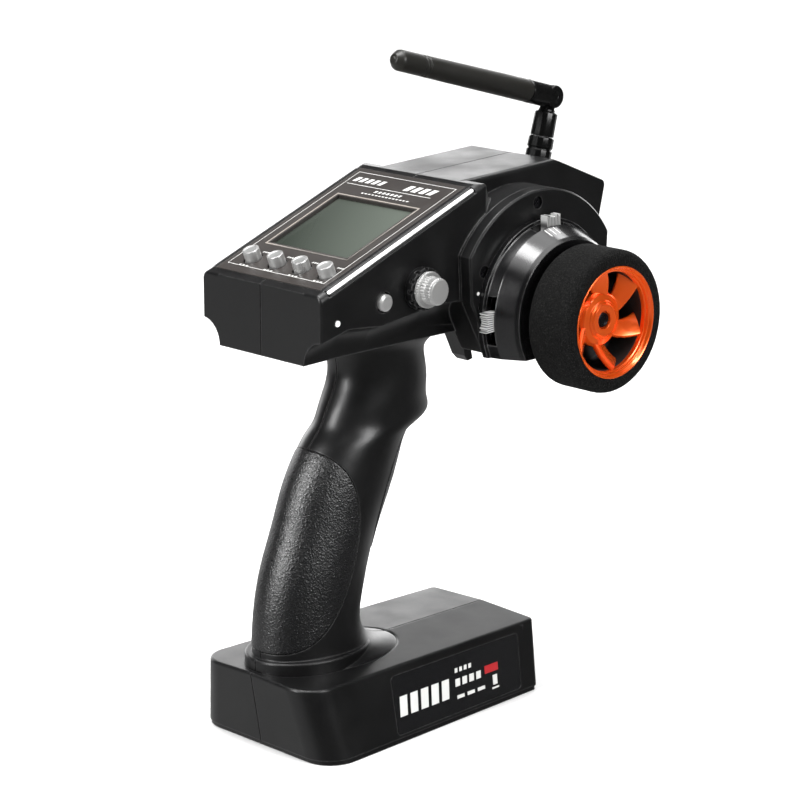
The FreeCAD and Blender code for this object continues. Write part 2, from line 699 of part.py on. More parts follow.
def make_shield():
    """The cone-shaped shield round the wheel's column, open at its back and flat below."""
    back, front = size("shield_back_radius"), size("shield_front_radius")
    foot = size("shield_level")
    outer = turned_x([
        (SHIELD_START, 0), (SHIELD_START, back + 1.4), (SHIELD_START + 2.6, back + 1.4),
        (SHIELD_START + 2.9, back), (49.0, back - 0.9), (56.4, front + 0.5),
        (SHIELD_END, front - 0.6), (SHIELD_END, 0),
    ]).common(above(foot))
    inner = turned_x([
        (SHIELD_START - 1, 0), (SHIELD_START - 1, back - 2.6), (49.0, back - 3.4),
        (55.8, front - 2.6), (55.8, 0),
    ]).common(above(foot + 2.0))
    boss = tube_x(BEARING + 2.4, BEARING, (54.0, SHIELD_END), WHEEL_Y, WHEEL_Z)
    bore = rod_x(BEARING, (50, 60), WHEEL_Y, WHEEL_Z)
    upper_slot = box((44.5, 48.7), (WHEEL_Y - 10, WHEEL_Y + 10), (WHEEL_Z + 25, WHEEL_Z + 45))
    rear_slot = box((44.5, 48.7), (WHEEL_Y - 45, WHEEL_Y - 25), (WHEEL_Z - 10, WHEEL_Z + 10))
    return outer.cut(inner).fuse(boss).cut([bore, upper_slot, rear_slot])


feature("steering_shield", make_shield())
feature("steering_bearings", Part.makeCompound([
    tube_x(BEARING, size("shaft_radius") + RUN, (37.0, 41.0), WHEEL_Y, WHEEL_Z),
    tube_x(BEARING, size("shaft_radius") + RUN, (54.0, 58.0), WHEEL_Y, WHEEL_Z)]))
feature("steering_sensor", tube_x(5.0, size("shaft_radius") + RUN, (13.0, 22.0), WHEEL_Y, WHEEL_Z).fuse(
    box((13.0, 15.0), (WHEEL_Y + 4, WHEEL_Y + 11), (WHEEL_Z - 4, WHEEL_Z + 4))))
feature("steering_return_spring", spiral_x(4.2, 0.5, 1.6, 8, (44.5, 50.5), WHEEL_Y, WHEEL_Z))


def housing_screws():
    return [screw(2.4, 1.2, V(PLATE_FRONT - 1.0, y, z), V(-1, 0, 0), 1.9, 4.4)
            for y, z in HOUSING_SCREWS]


feature("housing_screws", Part.makeCompound(housing_screws()))

LEVER_FOOT, LEVER_TOP = 28.6, 39.0


def make_lever(turn):
    """A trim lever: a ribbed thumb block standing through a slot in the shield."""
    block = box((44.8, 48.4), (-4.0, 4.0), (LEVER_FOOT, LEVER_TOP))
    ribs = [box((44, 49), (y - 0.35, y + 0.35), (LEVER_TOP - 0.7, LEVER_TOP + 1))
            for y in (-3.0, -1.5, 1.5, 3.0)]
    dip = rod(1.6, V(44, 0, LEVER_TOP + 0.6), V(49, 0, LEVER_TOP + 0.6))
    block = block.cut([*ribs, dip])
    block.rotate(V(0, 0, 0), X_DIR, turn)
    block.translate(V(0, WHEEL_Y, WHEEL_Z))
    return block


feature("trim_lever_upper", make_lever(0))
feature("trim_lever_rear", make_lever(90))

# ---- steering wheel ---------------------------------------------------------------------------


def make_tyre():
    body = x_body("wheel_tyre", WHEEL_Y, WHEEL_Z)
    profile = sketch_on(body, "XZ_Plane", "tyre_profile")
    back, front = size("tyre_back"), size("tyre_front")
    outer, bore = size("tyre_radius"), size("tyre_bore")
    shoulder = 5.0
    turn = shoulder * (1 - math.sqrt(0.5))
    outline(profile, [
        (back, bore), (back, outer - 3), (back + 0.9, outer - 0.9, 1), (back + 3, outer),
        (front - shoulder, outer), (front - turn, outer - turn, 1), (front, outer - shoulder),
        (front, bore),
    ])
    spin(body, profile, "tyre_turned")


make_tyre()


def make_rim():
    """The dished wheel: a barrel with a front lip, a recessed hub and six slanted blades."""
    body = x_body("wheel_rim", WHEEL_Y, WHEEL_Z)
    front, bore, hub = size("rim_front"), size("tyre_bore"), size("hub_radius")
    barrel = sketch_on(body, "XZ_Plane", "rim_barrel_profile")
    outline(barrel, [
        (61.0, bore), (61.0, bore - 1.6), (76.0, bore - 2.4), (81.6, bore - 3.2), (front, bore - 2.4),
        (front, bore + 0.4), (size("tyre_front"), bore + 0.4), (size("tyre_front"), bore),
    ])
    spin(body, barrel, "rim_barrel")
    blade = sketch_on(body, "XZ_Plane", "rim_blade")
    outline(blade, [(68.0, 6.0), (73.6, 6.0), (79.5, bore - 2.0), (71.0, bore - 1.6)])
    arm = pad(body, blade, "rim_blade_pad", "dims.hub_radius * 0.75", both_ways=True)
    around_x(body, arm, "rim_blades", 6)
    centre = sketch_on(body, "XZ_Plane", "rim_hub_profile")
    outline(centre, [
        (62.0, 3.0), (74.8, 3.0), (74.8, 4.4), (76.0, 4.8), (76.0, 7.2), (73.6, hub), (66.0, hub),
        (62.0, 6.0),
    ])
    spin(body, centre, "rim_hub")
    bore_cut = sketch_on(body, "YZ_Plane", "rim_bore", 60.0)
    circle(bore_cut, (0, 0), "dims.shaft_radius")
    pocket(body, bore_cut, "rim_bore_cut", "dims.rim_front", reverse=True)


make_rim()
feature("wheel_shaft", rod_x(size("shaft_radius"), (size("shaft_start"), size("shaft_end")),
                             WHEEL_Y, WHEEL_Z).fuse(
    tube_x(5.0, 2.5, (59.0, 62.0), WHEEL_Y, WHEEL_Z)).cut(
    rod_x(1.5, (66.0, 80.0), WHEEL_Y, WHEEL_Z)))
feature("wheel_screw", rod_x(1.5, (66.0, 74.5), WHEEL_Y, WHEEL_Z).fuse(
    rod_x(3.0, (74.0, 75.8), WHEEL_Y, WHEEL_Z)).cut(
    prism_x([(WHEEL_Y + 1.4 * math.cos(math.radians(60 * i)),
              WHEEL_Z + 1.4 * math.sin(math.radians(60 * i))) for i in range(6)], (74.6, 80))))

# ---- trigger ----------------------------------------------------------------------------------


def make_trigger():
    """A hooked pull blade and a push blade hanging from one pivot hub."""
    body = x_body("trigger", 0, 0)
    side = sketch_on(body, "YZ_Plane", "trigger_side")
    outline(side, [
        (42.4, 179.0), (40.4, 172.0), (41.4, 166.4), (46.2, 160.4), (48.2, 155.0, 1), (51.9, 144.4),
        (54.4, 141.8), (57.2, 142.4), (54.6, 149.0), (52.4, 155.0, 1), (51.6, 162.0), (52.6, 168.6),
        (56.0, 172.5), (63.0, 169.0), (70.6, 158.0, 1), (73.4, 147.0), (76.8, 144.6), (78.2, 146.2),
        (75.6, 160.0, 1), (66.0, 173.5), (57.0, 178.0), (52.0, 182.5),
    ])
    pad(body, side, "trigger_blades", "dims.trigger_half * 2", both_ways=True)
    for label, way in (("trigger_taper_left", -1), ("trigger_taper_right", 1)):
        taper = sketch_on(body, "XZ_Plane", label)
        outline(taper, [(way * x, z) for x, z in (
            (9.0, 168.0), (9.0, 138.0), (3.0, 138.0), (3.4, 143.0), (5.0, 152.0), (6.2, 164.0))])
        pocket(body, taper, label + "_cut", "dims.trigger_half * 30", both_ways=True)
    hub = sketch_on(body, "YZ_Plane", "trigger_hub")
    circle(hub, (TRIGGER_Y, TRIGGER_Z), "dims.pin_radius * 3")
    pad(body, hub, "trigger_hub_pad", "dims.trigger_half * 2 + 0.4", both_ways=True)
    bore = sketch_on(body, "YZ_Plane", "trigger_bore")
    circle(bore, (TRIGGER_Y, TRIGGER_Z), "dims.pin_radius + dims.run_gap")
    pocket(body, bore, "trigger_bore_cut", "dims.trigger_half * 4", both_ways=True)


make_trigger()
PIN_REACH = CORE_HALF - WALL
feature("trigger_pin", rod_x(size("pin_radius"), (-PIN_REACH, PIN_REACH), TRIGGER_Y, TRIGGER_Z))
feature("throttle_sensor", tube_x(8.0, size("pin_radius"), (-17.0, -8.0), TRIGGER_Y, TRIGGER_Z))
feature("trigger_return_spring", coil_x(3.4, 0.4, (7.4, 10.4), 4, TRIGGER_Y, TRIGGER_Z))

# ---- antenna ----------------------------------------------------------------------------------


def antenna_placement():
    """Local Z up the stem, local X along the fold pin, origin at the fold joint."""
    return FreeCAD.Placement(JOINT, FreeCAD.Rotation(X_DIR, -size("stem_tilt")))


def stem_shape(shape):
    shape.Placement = antenna_placement()
    return shape


PIN = 1.0
TONGUE = 2.6
SHOULDER = -5.5


def make_collar():
    ring = Part.makeCylinder(5.6, COLLAR_TOP - COLLAR_LOW, V(0, 0, COLLAR_LOW))
    ring = ring.makeChamfer(0.4, [e for e in ring.Edges if abs(e.BoundBox.ZMin - COLLAR_TOP) < 0.01])
    bore = Part.makeCylinder(2.5 + RUN, 9.0, V(0, 0, COLLAR_TOP - 8.5))
    return stem_shape(ring.cut(bore))


def make_stem():
    lower, upper = COLLAR_TOP + 0.1, SHOULDER - 1.0
    body = Part.makeCone(5.2, size("stem_radius"), upper - lower, V(0, 0, lower))
    neck = Part.makeCone(size("stem_radius"), 3.6, 1.0, V(0, 0, upper))
    spigot = Part.makeCylinder(2.5, 8.0, V(0, 0, COLLAR_TOP - 7.8))
    tongue = Part.makeBox(4.0, 2 * TONGUE, 6.0, V(-2.0, -TONGUE, -6.0))
    nose = Part.makeCylinder(TONGUE, 4.0, V(-2.0, 0, 0), X_DIR)
    bore = Part.makeCylinder(PIN + RUN, 10, V(-5, 0, 0), X_DIR)
    return stem_shape(union([body, neck, spigot, tongue, nose]).cut(bore))


def make_whip():
    """The whip, drawn along local -Y from the joint, with a slot for the stem's tongue."""
    root, tip, long = size("whip_root_radius"), size("whip_tip_radius"), size("whip_length")
    away = V(0, -1, 0)
    sleeve = Part.makeCylinder(root, 15.0, V(0, 0, 0), away)
    end = Part.makeCylinder(root, 8.6, V(-4.3, 0, 0), X_DIR)
    end = end.makeFillet(1.2, [e for e in end.Edges if e.BoundBox.XLength < 0.01])
    taper = Part.makeCone(root - 0.35, tip, long - tip - 15.0, V(0, -15.0, 0), away)
    crown = Part.makeSphere(tip, V(0, -(long - tip), 0))
    groove_at = long - 17.0
    groove = Part.makeCylinder(8, 1.0, V(0, -groove_at, 0), away).cut(
        Part.makeCylinder(tip - 0.35, 1.0, V(0, -groove_at, 0), away))
    slot = Part.makeBox(4.6, 6.0 + TONGUE + 0.4, 12.0, V(-2.3, -(TONGUE + 0.4), -12.0 + TONGUE + 0.4))
    bore = Part.makeCylinder(PIN, 12, V(-6, 0, 0), X_DIR)
    return stem_shape(union([sleeve, end, taper, crown]).cut([groove, slot, bore]))


feature("antenna_collar", make_collar())
feature("antenna_stem", make_stem())
feature("antenna_whip", make_whip())
feature("antenna_pin", stem_shape(Part.makeCylinder(PIN, 8.6, V(-4.3, 0, 0), X_DIR)))
feature("antenna_connector", rod(3.0, stem_point(CONNECTOR_LOW), stem_point(COLLAR_LOW)))

# ---- radio board and aerial lead ---------------------------------------------------------------

RADIO_FACE = 83.0
LEAD_TOP = stem_point(CONNECTOR_LOW)
LEAD_TURN = LEAD_TOP - STEM * 9.0
feature("radio_board", box((-13.0, 13.0), (60.0, RADIO_FACE), (LEAD_TURN.z - 2.0, LEAD_TURN.z - 0.9)))
feature("radio_shield_can", box((-9.0, 9.0), (63.0, RADIO_FACE - 1.5),
                                (LEAD_TURN.z - 0.9, LEAD_TURN.z + 3.0)))
feature("aerial_lead", cable(0.7, [LEAD_TOP, LEAD_TURN, V(0, RADIO_FACE - 1.5, LEAD_TURN.z)]))

# ---- handle ------------------------------------------------------------------------------------

PAD_PROUD, PAD_DEPTH, PAD_GAP = 0.35, 1.3, 0.25
REAR_OVAL = (-52.5, 81.5, 42.5, 29.0, 18.5)
FRONT_OVAL = (3.5, 96.5, 26.0, 8.6, 20.5)


def grown(oval, gap):
    middle_y, middle_z, tall, wide, lean = oval
    return side_oval(middle_y, middle_z, tall + gap, wide + gap, lean)


def make_plinth():
    """The collar that the handle stands in on top of the base."""
    post = oval_post(31.0, -35.0, 21.6, 28.6, 6.2)
    return post.makeFillet(0.8, [edge for edge in post.Edges if edge.BoundBox.ZMin > 37.1])


handle_solid = handle_form()
handle_outer = handle_solid.fuse(make_plinth())
handle_hollow = handle_form(-WALL)
pad_floor = handle_form(-PAD_DEPTH)
pad_skin = handle_form(PAD_PROUD)
pad_limit = box((-FAR, FAR), (-FAR, FAR), (37.6, 126.0))


def grip_pad(oval):
    return biggest(pad_skin.cut(pad_floor).common(grown(oval, 0.0)).common(pad_limit))


def grip_seat(oval):
    return handle_outer.cut(pad_floor).common(grown(oval, PAD_GAP)).common(
        box((-FAR, FAR), (-FAR, FAR), (37.3, 126.3)))


handle = handle_outer.cut([handle_hollow, grip_seat(REAR_OVAL), grip_seat(FRONT_OVAL)])
for label, side in (("handle_shell_left", -1), ("handle_shell_right", 1)):
    feature(label, biggest(half(handle, side)))
feature("grip_pad_rear", grip_pad(REAR_OVAL))
feature("grip_pad_front", grip_pad(FRONT_OVAL))

# ---- base --------------------------------------------------------------------------------------

PLATE_TOP = size("plate_thick")
TOP_LEVEL = 34.0


def base_corners(share, inset=0.0):
    """The base's outline, from its foot (share 0) to its top edge (share 1)."""
    def between(low, high):
        return size(low) + (size(high) - size(low)) * share

    user_y = between("user_end_low", "user_end_high") + inset
    far_y = size("far_end") - inset
    user_half = between("user_half_low", "user_half_high") - inset
    far_half = between("far_half_low", "far_half_high") - inset
    return [(user_half, user_y), (far_half, far_y), (-far_half, far_y), (-user_half, user_y)]


def base_wire(level, inset=0.0):
    share = (level - PLATE_TOP) / (size("base_top_edge") - PLATE_TOP)
    user_radius = max(size("user_corner") - inset, 1.0)
    far_radius = max(size("far_corner") - inset, 0.5)
    radii = [user_radius, far_radius, far_radius, user_radius]
    return rounded_wire(base_corners(share, inset), radii, level)


def base_block(low, high, inset=0.0):
    return Part.makeLoft([base_wire(low, inset), base_wire(high, inset)], True, True)


def roof(drop=0.0):
    """Keeps what is under the base's shallow ridged top."""
    edge, ridge = size("base_top_edge") - drop, size("base_ridge") - drop
    wide = 60.0
    fall = (ridge - edge) * wide / size("user_half_high")
    profile = [V(-wide, -FAR, -1), V(wide, -FAR, -1), V(wide, -FAR, ridge - fall), V(0, -FAR, ridge),
               V(-wide, -FAR, ridge - fall)]
    return Part.Face(closed_wire(profile)).extrude(V(0, 2 * FAR, 0))


LABEL_SEAT = 0.5


def label_layer(top, floor, shrink):
    """A rounded rectangle of the right flank's skin, between two depths."""
    low, high = 3.4 + shrink, 27.4 - shrink
    window = box((20.0, 60.0), (-20.0 + shrink, 57.0 - shrink), (low, high))
    window = window.makeFillet(1.8, [edge for edge in window.Edges if edge.BoundBox.XLength > 30])
    layer = base_block(PLATE_TOP, TOP_LEVEL, top).cut(base_block(PLATE_TOP - 1, TOP_LEVEL + 1, floor))
    return layer.common(window)


BASE_SCREWS = [(-31.0, -46.0), (31.0, -46.0), (-29.0, 60.0), (29.0, 60.0)]
DOOR_HALF, DOOR_LOW = 25.8, -27.0
BOSS_RADIUS, SHANK_RADIUS = 1.9, 1.0

base_outer = base_block(PLATE_TOP, TOP_LEVEL).common(roof())
base_outer = round_edges(base_outer, 1.0, lambda edge: edge.BoundBox.ZMin > 29.0
                         and edge.BoundBox.Center.Length > 30.0
                         and abs(edge.BoundBox.Center.x) + abs(edge.BoundBox.Center.y) > 32.0)
base_hollow = base_block(PLATE_TOP - 1, TOP_LEVEL, WALL).common(roof(WALL))
base = base_outer.cut([base_hollow, handle_outer, handle_hollow, label_layer(0.0, LABEL_SEAT, 0.0)])
bosses = [rod(BOSS_RADIUS, V(x, y, PLATE_TOP), V(x, y, 30.0)) for x, y in BASE_SCREWS]
pilots = [rod(SHANK_RADIUS + RUN, V(x, y, 1.0), V(x, y, 8.0)) for x, y in BASE_SCREWS]
lead_hole = oval_post(26.0, -35.0, 8.0, 12.0, 8.0)
base = base.fuse(bosses).cut([lead_hole, *pilots])
for label, side in (("base_shell_left", -1), ("base_shell_right", 1)):
    feature(label, biggest(half(base, side)))
feature("base_label", label_layer(0.1, LABEL_SEAT, 0.1))


def make_bottom_plate():
    """The plate that closes the base, with an open-ended way for the battery door."""
    plate = base_block(0.0, PLATE_TOP - 0.1, 0.7)
    plate = plate.cut(box((-DOOR_HALF - CLEAR, DOOR_HALF + CLEAR), (DOOR_LOW - CLEAR, FAR), (-1, 5)))
    for x, y in BASE_SCREWS:
        plate = plate.cut(rod(2.6, V(x, y, -1), V(x, y, 1.2)))
        plate = plate.cut(rod(SHANK_RADIUS + 0.15, V(x, y, -1), V(x, y, 4)))
    return plate


feature("bottom_plate", make_bottom_plate())


def make_door():
    """The sliding battery door, with a ribbed thumb patch."""
    body = new_body("battery_door")
    face = sketch_on(body, "XY_Plane", "door_outline")
    rectangle(face, -DOOR_HALF, DOOR_HALF, DOOR_LOW, size("far_end") - 0.7)
    pad(body, face, "door_plate", "dims.plate_thick - 0.1")
    ribs = sketch_on(body, "XY_Plane", "door_ribs")
    for i in range(5):
        rectangle(ribs, -10.0, 10.0, 40.0 + 4 * i, 41.5 + 4 * i)
    pocket(body, ribs, "door_rib_cut", "dims.plate_thick / 4", reverse=True)


make_door()
feature("bottom_screws", Part.makeCompound(
    [screw(2.4, SHANK_RADIUS, V(x, y, 0.2), Z_DIR, 1.0, 6.0) for x, y in BASE_SCREWS]))
feature("head_screws", Part.makeCompound(
    [screw(2.5, 1.2, V((-HEAD_HALF if y < 40 else -CORE_HALF) + 0.2, y, z), X_DIR, 1.0, 3.8)
     for y, z in HEAD_SCREWS]))

# ---- battery -----------------------------------------------------------------------------------

CELL_RADIUS, CELL_HALF = size("cell_radius"), size("cell_length") / 2
CELL_Y = [size("cell_first") + size("cell_pitch") * i for i in range(6)]
CELL_Z = size("cell_level")
TRAY_LOW, TRAY_TOP = 2.6, 20.2
BAY_HALF, TRAY_WALL = 26.0, 0.9


def make_tray():
    """The battery box: an open-bottomed tray over a row of six cells."""
    reach = BAY_HALF + TRAY_WALL
    outer = box((-reach, reach), (CELL_Y[0] - 8.6, CELL_Y[-1] + 8.2), (TRAY_LOW, TRAY_TOP))
    inner = box((-BAY_HALF, BAY_HALF), (CELL_Y[0] - 7.4, CELL_Y[-1] + 7.4), (0, TRAY_TOP - 1.2))
    return outer.cut(inner)


def make_cell(y, way):
    can = rod_x(CELL_RADIUS, (-CELL_HALF, CELL_HALF - 1.0), y, CELL_Z)
    cap = rod_x(2.7, (CELL_HALF - 1.1, CELL_HALF), y, CELL_Z)
    cell = can.fuse(cap)
    if way < 0:
        cell.rotate(V(0, y, CELL_Z), Z_DIR, 180)
    return cell


def make_contacts():
    """Spring plates at both ends of every cell."""
    made = []
    for y in CELL_Y:
        for side in (-1, 1):
            span = sorted((side * BAY_HALF, side * (BAY_HALF - 0.4)))
            plate = box(span, (y - 4.5, y + 4.5), (CELL_Z - 4.5, CELL_Z + 4.5))
            bump = rod_x(2.4, sorted((side * (BAY_HALF - 0.3), side * (CELL_HALF + 0.05))), y, CELL_Z)
            made.append(plate.fuse(bump))
    return Part.makeCompound(made)


feature("battery_tray", make_tray())
feature("battery_cells", Part.makeCompound(
    [make_cell(y, 1 if i % 2 else -1) for i, y in enumerate(CELL_Y)]))
feature("battery_contacts", make_contacts())
feature("power_lead", cable(1.2, [
    V(0, -30.0, 22.3), V(0, -35.5, 48.0), V(0, -27.0, 82.0), V(0, -13.5, 112.0), V(0, 2.0, 140.0),
    V(0, 4.0, 168.0), V(0, -4.0, 196.0)]))
feature("lead_socket", box((-4.0, 4.0), (-34.0, -26.0), (TRAY_TOP, 22.0)))

# ---- checks and files --------------------------------------------------------------------------

doc.recompute()
problems = []
for thing in doc.Objects:
    if "Invalid" in thing.State or "Error" in thing.State:
        problems.append(f"{thing.Label} failed to rebuild")
for thing in nodes:
    if thing.Shape.isNull() or not thing.Shape.isValid() or not thing.Shape.Solids:
        problems.append(f"{thing.Label} has no valid solid")
if problems:
    raise RuntimeError("; ".join(problems))
if len({thing.Label for thing in nodes}) != len(nodes):
    raise RuntimeError("two sub-parts share a name")

os.makedirs("parts", exist_ok=True)
for thing in nodes:
    thing.Shape.exportStep(f"parts/{thing.Label}.step")
print(len(nodes), "sub-parts written")
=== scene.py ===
import json
import math

import bmesh
import bpy
from mathutils import Matrix, Vector, noise
from mathutils.bvhtree import BVHTree


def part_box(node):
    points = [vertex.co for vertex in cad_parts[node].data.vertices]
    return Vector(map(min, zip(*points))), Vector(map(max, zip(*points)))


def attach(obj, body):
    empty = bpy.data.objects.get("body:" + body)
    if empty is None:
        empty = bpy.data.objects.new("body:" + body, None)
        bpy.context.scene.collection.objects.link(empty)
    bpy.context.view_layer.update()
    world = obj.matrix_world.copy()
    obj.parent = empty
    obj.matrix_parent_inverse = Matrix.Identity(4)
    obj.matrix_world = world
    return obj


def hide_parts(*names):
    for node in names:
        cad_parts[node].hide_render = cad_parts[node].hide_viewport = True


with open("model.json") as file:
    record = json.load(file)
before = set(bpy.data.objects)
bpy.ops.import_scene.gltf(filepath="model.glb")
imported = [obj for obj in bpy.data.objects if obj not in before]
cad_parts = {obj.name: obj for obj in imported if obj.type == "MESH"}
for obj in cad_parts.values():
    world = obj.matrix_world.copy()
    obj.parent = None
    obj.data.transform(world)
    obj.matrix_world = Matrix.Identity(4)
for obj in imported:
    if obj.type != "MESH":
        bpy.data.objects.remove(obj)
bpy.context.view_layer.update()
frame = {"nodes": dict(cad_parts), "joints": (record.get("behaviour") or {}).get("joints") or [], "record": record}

MM = 0.001
NODES = frame["nodes"]

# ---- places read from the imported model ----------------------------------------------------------

TYRE_LOW, TYRE_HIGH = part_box("wheel_tyre")
AXLE_Y = (TYRE_LOW.y + TYRE_HIGH.y) / 2 / MM
AXLE_Z = (TYRE_LOW.z + TYRE_HIGH.z) / 2 / MM
TYRE_BACK, TYRE_FRONT = TYRE_LOW.x / MM, TYRE_HIGH.x / MM
TYRE_RADIUS = (TYRE_HIGH.z - TYRE_LOW.z) / 2 / MM
RIM_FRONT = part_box("wheel_rim")[1].x / MM
FOAM_THICKNESS = 6.8
TYRE_BORE = TYRE_RADIUS - FOAM_THICKNESS


def joint(name):
    """The frame's row for a joint."""
    return next(row for row in frame["joints"] if row["name"] == name)


def axis_frame(y, z):
    """A frame, in millimetres, whose X axis runs along +X through the given place."""
    return Matrix.Scale(MM, 4) @ Matrix.Translation((0, y, z))


WHEEL = axis_frame(AXLE_Y, AXLE_Z)

# PANEL is the display slope's own frame, in millimetres: X across it, Y up it, Z out of it. Its
# origin is at the slope's foot, where the bezel starts a little further up.
key_axis = joint("display_key_1_press")["axis"]
TILT = math.atan2(key_axis[1], -key_axis[2])
BEZEL_START, BEZEL_PROUD, BEZEL_SUNK = 4.0, 0.2, 1.4
bezel_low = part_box("display_bezel")[0] / MM
SLOPE_Y = bezel_low.y - BEZEL_START * math.cos(TILT) + BEZEL_PROUD * math.sin(TILT)
SLOPE_Z = bezel_low.z - BEZEL_START * math.sin(TILT) + BEZEL_SUNK * math.cos(TILT)
PANEL = axis_frame(SLOPE_Y, SLOPE_Z) @ Matrix.Rotation(TILT, 4, "X")
PANEL_INVERSE = PANEL.inverted()

# ANTENNA has its origin on the fold pin, its Z up the stem, and the whip along -Y.
FOLD_PLACE = joint("antenna_fold")["pos_m"]
swivel_axis = joint("antenna_swivel")["axis"]
STEM_TILT = math.atan2(swivel_axis[1], swivel_axis[2])
ANTENNA = Matrix.Translation(FOLD_PLACE) @ Matrix.Rotation(-STEM_TILT, 4, "X") @ Matrix.Scale(MM, 4)


def middle(node):
    """The middle of a node's box."""
    low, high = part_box(node)
    return (low + high) / 2


# ---- materials ----------------------------------------------------------------------------------

COAT_ROUGHNESS = 0.12
# Grey that sharp edges are lightened towards: part wear, part painted edge highlight.
EDGE_WEAR_AND_HIGHLIGHT_GREY = (0.30, 0.30, 0.30)
SEAM_DARK, SEAM_HALF, SEAM_DROP = 0.12 * MM, 0.3 * MM, -14.0
SEAM_GROOVE = 0.35 * MM
TURNING_RINGS, RADIAL_RIBS = 16000.0, 260.0


class NodeTree:
    """A tree of shading nodes under construction."""

    def __init__(self, owner):
        owner.use_nodes = True
        self.tree = owner.node_tree

    def add(self, kind, values=None, **settings):
        """A new node, with its inputs set to values or joined to other nodes' outputs."""
        made = self.tree.nodes.new("ShaderNode" + kind)
        for key, value in settings.items():
            setattr(made, key, value)
        for key, value in (values or {}).items():
            if isinstance(value, bpy.types.NodeSocket):
                self.tree.links.new(value, made.inputs[key])
            else:
                made.inputs[key].default_value = value
        return made

    def math(self, operation, *values):
        """The result of a calculation on outputs and numbers."""
        return self.add("Math", dict(enumerate(values)), operation=operation).outputs["Value"]

    def spread(self, source, low, high, out_low, out_high, ease="LINEAR"):
        """A range of values stretched to another range."""
        return self.add("MapRange", {"Value": source, "From Min": low, "From Max": high,
                                     "To Min": out_low, "To Max": out_high},
                        interpolation_type=ease).outputs["Result"]

    def dot(self, first, second):
        """How far two directions agree."""
        return self.add("VectorMath", {0: first, 1: second},
                        operation="DOT_PRODUCT").outputs["Value"]


class Look(NodeTree):
    """A procedural material under construction, with its surface shader."""

    def __init__(self, name, rough, metallic=0.0, coat=0.0, specular=0.5):
        self.material = bpy.data.materials.new(name)
        super().__init__(self.material)
        self.shader = self.tree.nodes["Principled BSDF"]
        for socket, value in (("Roughness", rough), ("Metallic", metallic), ("Coat Weight", coat),
                              ("Coat Roughness", COAT_ROUGHNESS), ("Specular IOR Level", specular)):
            self.shader.inputs[socket].default_value = value
        self.coords = self.add("TexCoord").outputs["Object"]

    def feed(self, socket, source):
        """Joins a node's output to the shader."""
        self.tree.links.new(source, self.shader.inputs[socket])

    def noise(self, scale, detail=3.0, vector=None):
        """Soft random patches, between 0 and 1."""
        return self.add("TexNoise", {"Vector": vector or self.coords, "Scale": scale,
                                     "Detail": detail}).outputs["Fac"]

    def cells(self, scale, feature="F1"):
        """The distance from the nearest of many scattered points."""
        return self.add("TexVoronoi", {"Vector": self.coords, "Scale": scale},
                        feature=feature).outputs["Distance"]

    def blend(self, share, first, second):
        """A mix of two colours."""
        made = self.add("Mix", data_type="RGBA")
        for index, value in ((0, share), (6, first), (7, second)):
            if isinstance(value, bpy.types.NodeSocket):
                self.tree.links.new(value, made.inputs[index])
            else:
                made.inputs[index].default_value = (*value, 1)
        return made.outputs[2]

    def rounded(self, radius_mm):
        """The surface's direction, as if its edges had a small radius."""
        return self.add("Bevel", {"Radius": radius_mm * MM}, samples=4).outputs["Normal"]

    def edges(self, radius_mm):
        """A mask of the sharp edges, for edge wear and a painted edge highlight."""
        flat = self.add("NewGeometry").outputs["Normal"]
        return self.spread(self.dot(self.rounded(radius_mm), flat), 0.75, 0.985, 1.0, 0.0)

    def relief(self, height, depth_mm, bevel_mm=0.0):
        """Bumps of a given depth, over edges that look rounded to a given radius."""
        values = {"Height": height, "Distance": depth_mm * MM, "Strength": 1.0}
        if bevel_mm:
            values["Normal"] = self.rounded(bevel_mm)
        self.feed("Normal", self.add("Bump", values).outputs["Normal"])


def plastic(name, colour, rough, grain=2600, depth=0.02, bevel=0.45, edge_wear_and_highlight=0.0, lift=1.5,
            specular=0.5, coat=0.0, metallic=0.0, split=False):
    """Moulded plastic: fine spark-eroded grain, uneven sheen, softened edges, and edges lightened in patches as
    part wear, part painted highlight.

    Patches of it are lighter, up to `lift` times its colour. A split case also shows the seam
    between its halves as a dark groove at x = 0.
    """
    look = Look(name, rough, metallic, coat, specular)
    lighter = tuple(min(1.0, c * lift) for c in colour)
    tone = look.blend(look.noise(38.0), colour, lighter)
    # Part wear, part painted highlight: the sharp edges are lightened towards grey in patches.
    if edge_wear_and_highlight:
        patches = look.spread(look.noise(420.0), 0.35, 0.7, 0.35, 1.0)
        worn_and_lit_edges = look.math("MULTIPLY", look.edges(0.9), patches)
        tone = look.blend(look.math("MULTIPLY", worn_and_lit_edges, edge_wear_and_highlight), tone, EDGE_WEAR_AND_HIGHLIGHT_GREY)
    look.feed("Base Color", tone)
    look.feed("Roughness", look.spread(look.noise(55.0, 5.0), 0.3, 0.7, rough - 0.06, rough + 0.07))
    height = look.noise(grain, 2.0)
    if split:
        across = look.add("SeparateXYZ", {"Vector": look.coords}).outputs["X"]
        away = look.math("ABSOLUTE", across)
        groove = look.spread(away, 0.0, SEAM_GROOVE, SEAM_DROP, 0.0)
        look.feed("Specular IOR Level", look.spread(away, SEAM_DARK, SEAM_HALF, 0.0, specular))
        height = look.math("ADD", height, groove)
    look.relief(height, depth, bevel)
    return look.material


def metal(name, colour, rough):
    """Machined or drawn metal, with fine lines along one direction."""
    look = Look(name, rough, metallic=1.0)
    stretch = look.add("Mapping", {"Vector": look.coords, "Scale": (40, 900, 900)})
    lines = look.noise(4.0, 4.0, stretch.outputs["Vector"])
    darker = tuple(c * 0.8 for c in colour)
    look.feed("Base Color", look.blend(lines, darker, colour))
    look.feed("Roughness", look.spread(lines, 0.3, 0.7, rough - 0.06, rough + 0.08))
    look.relief(lines, 0.006, 0.2)
    return look.material


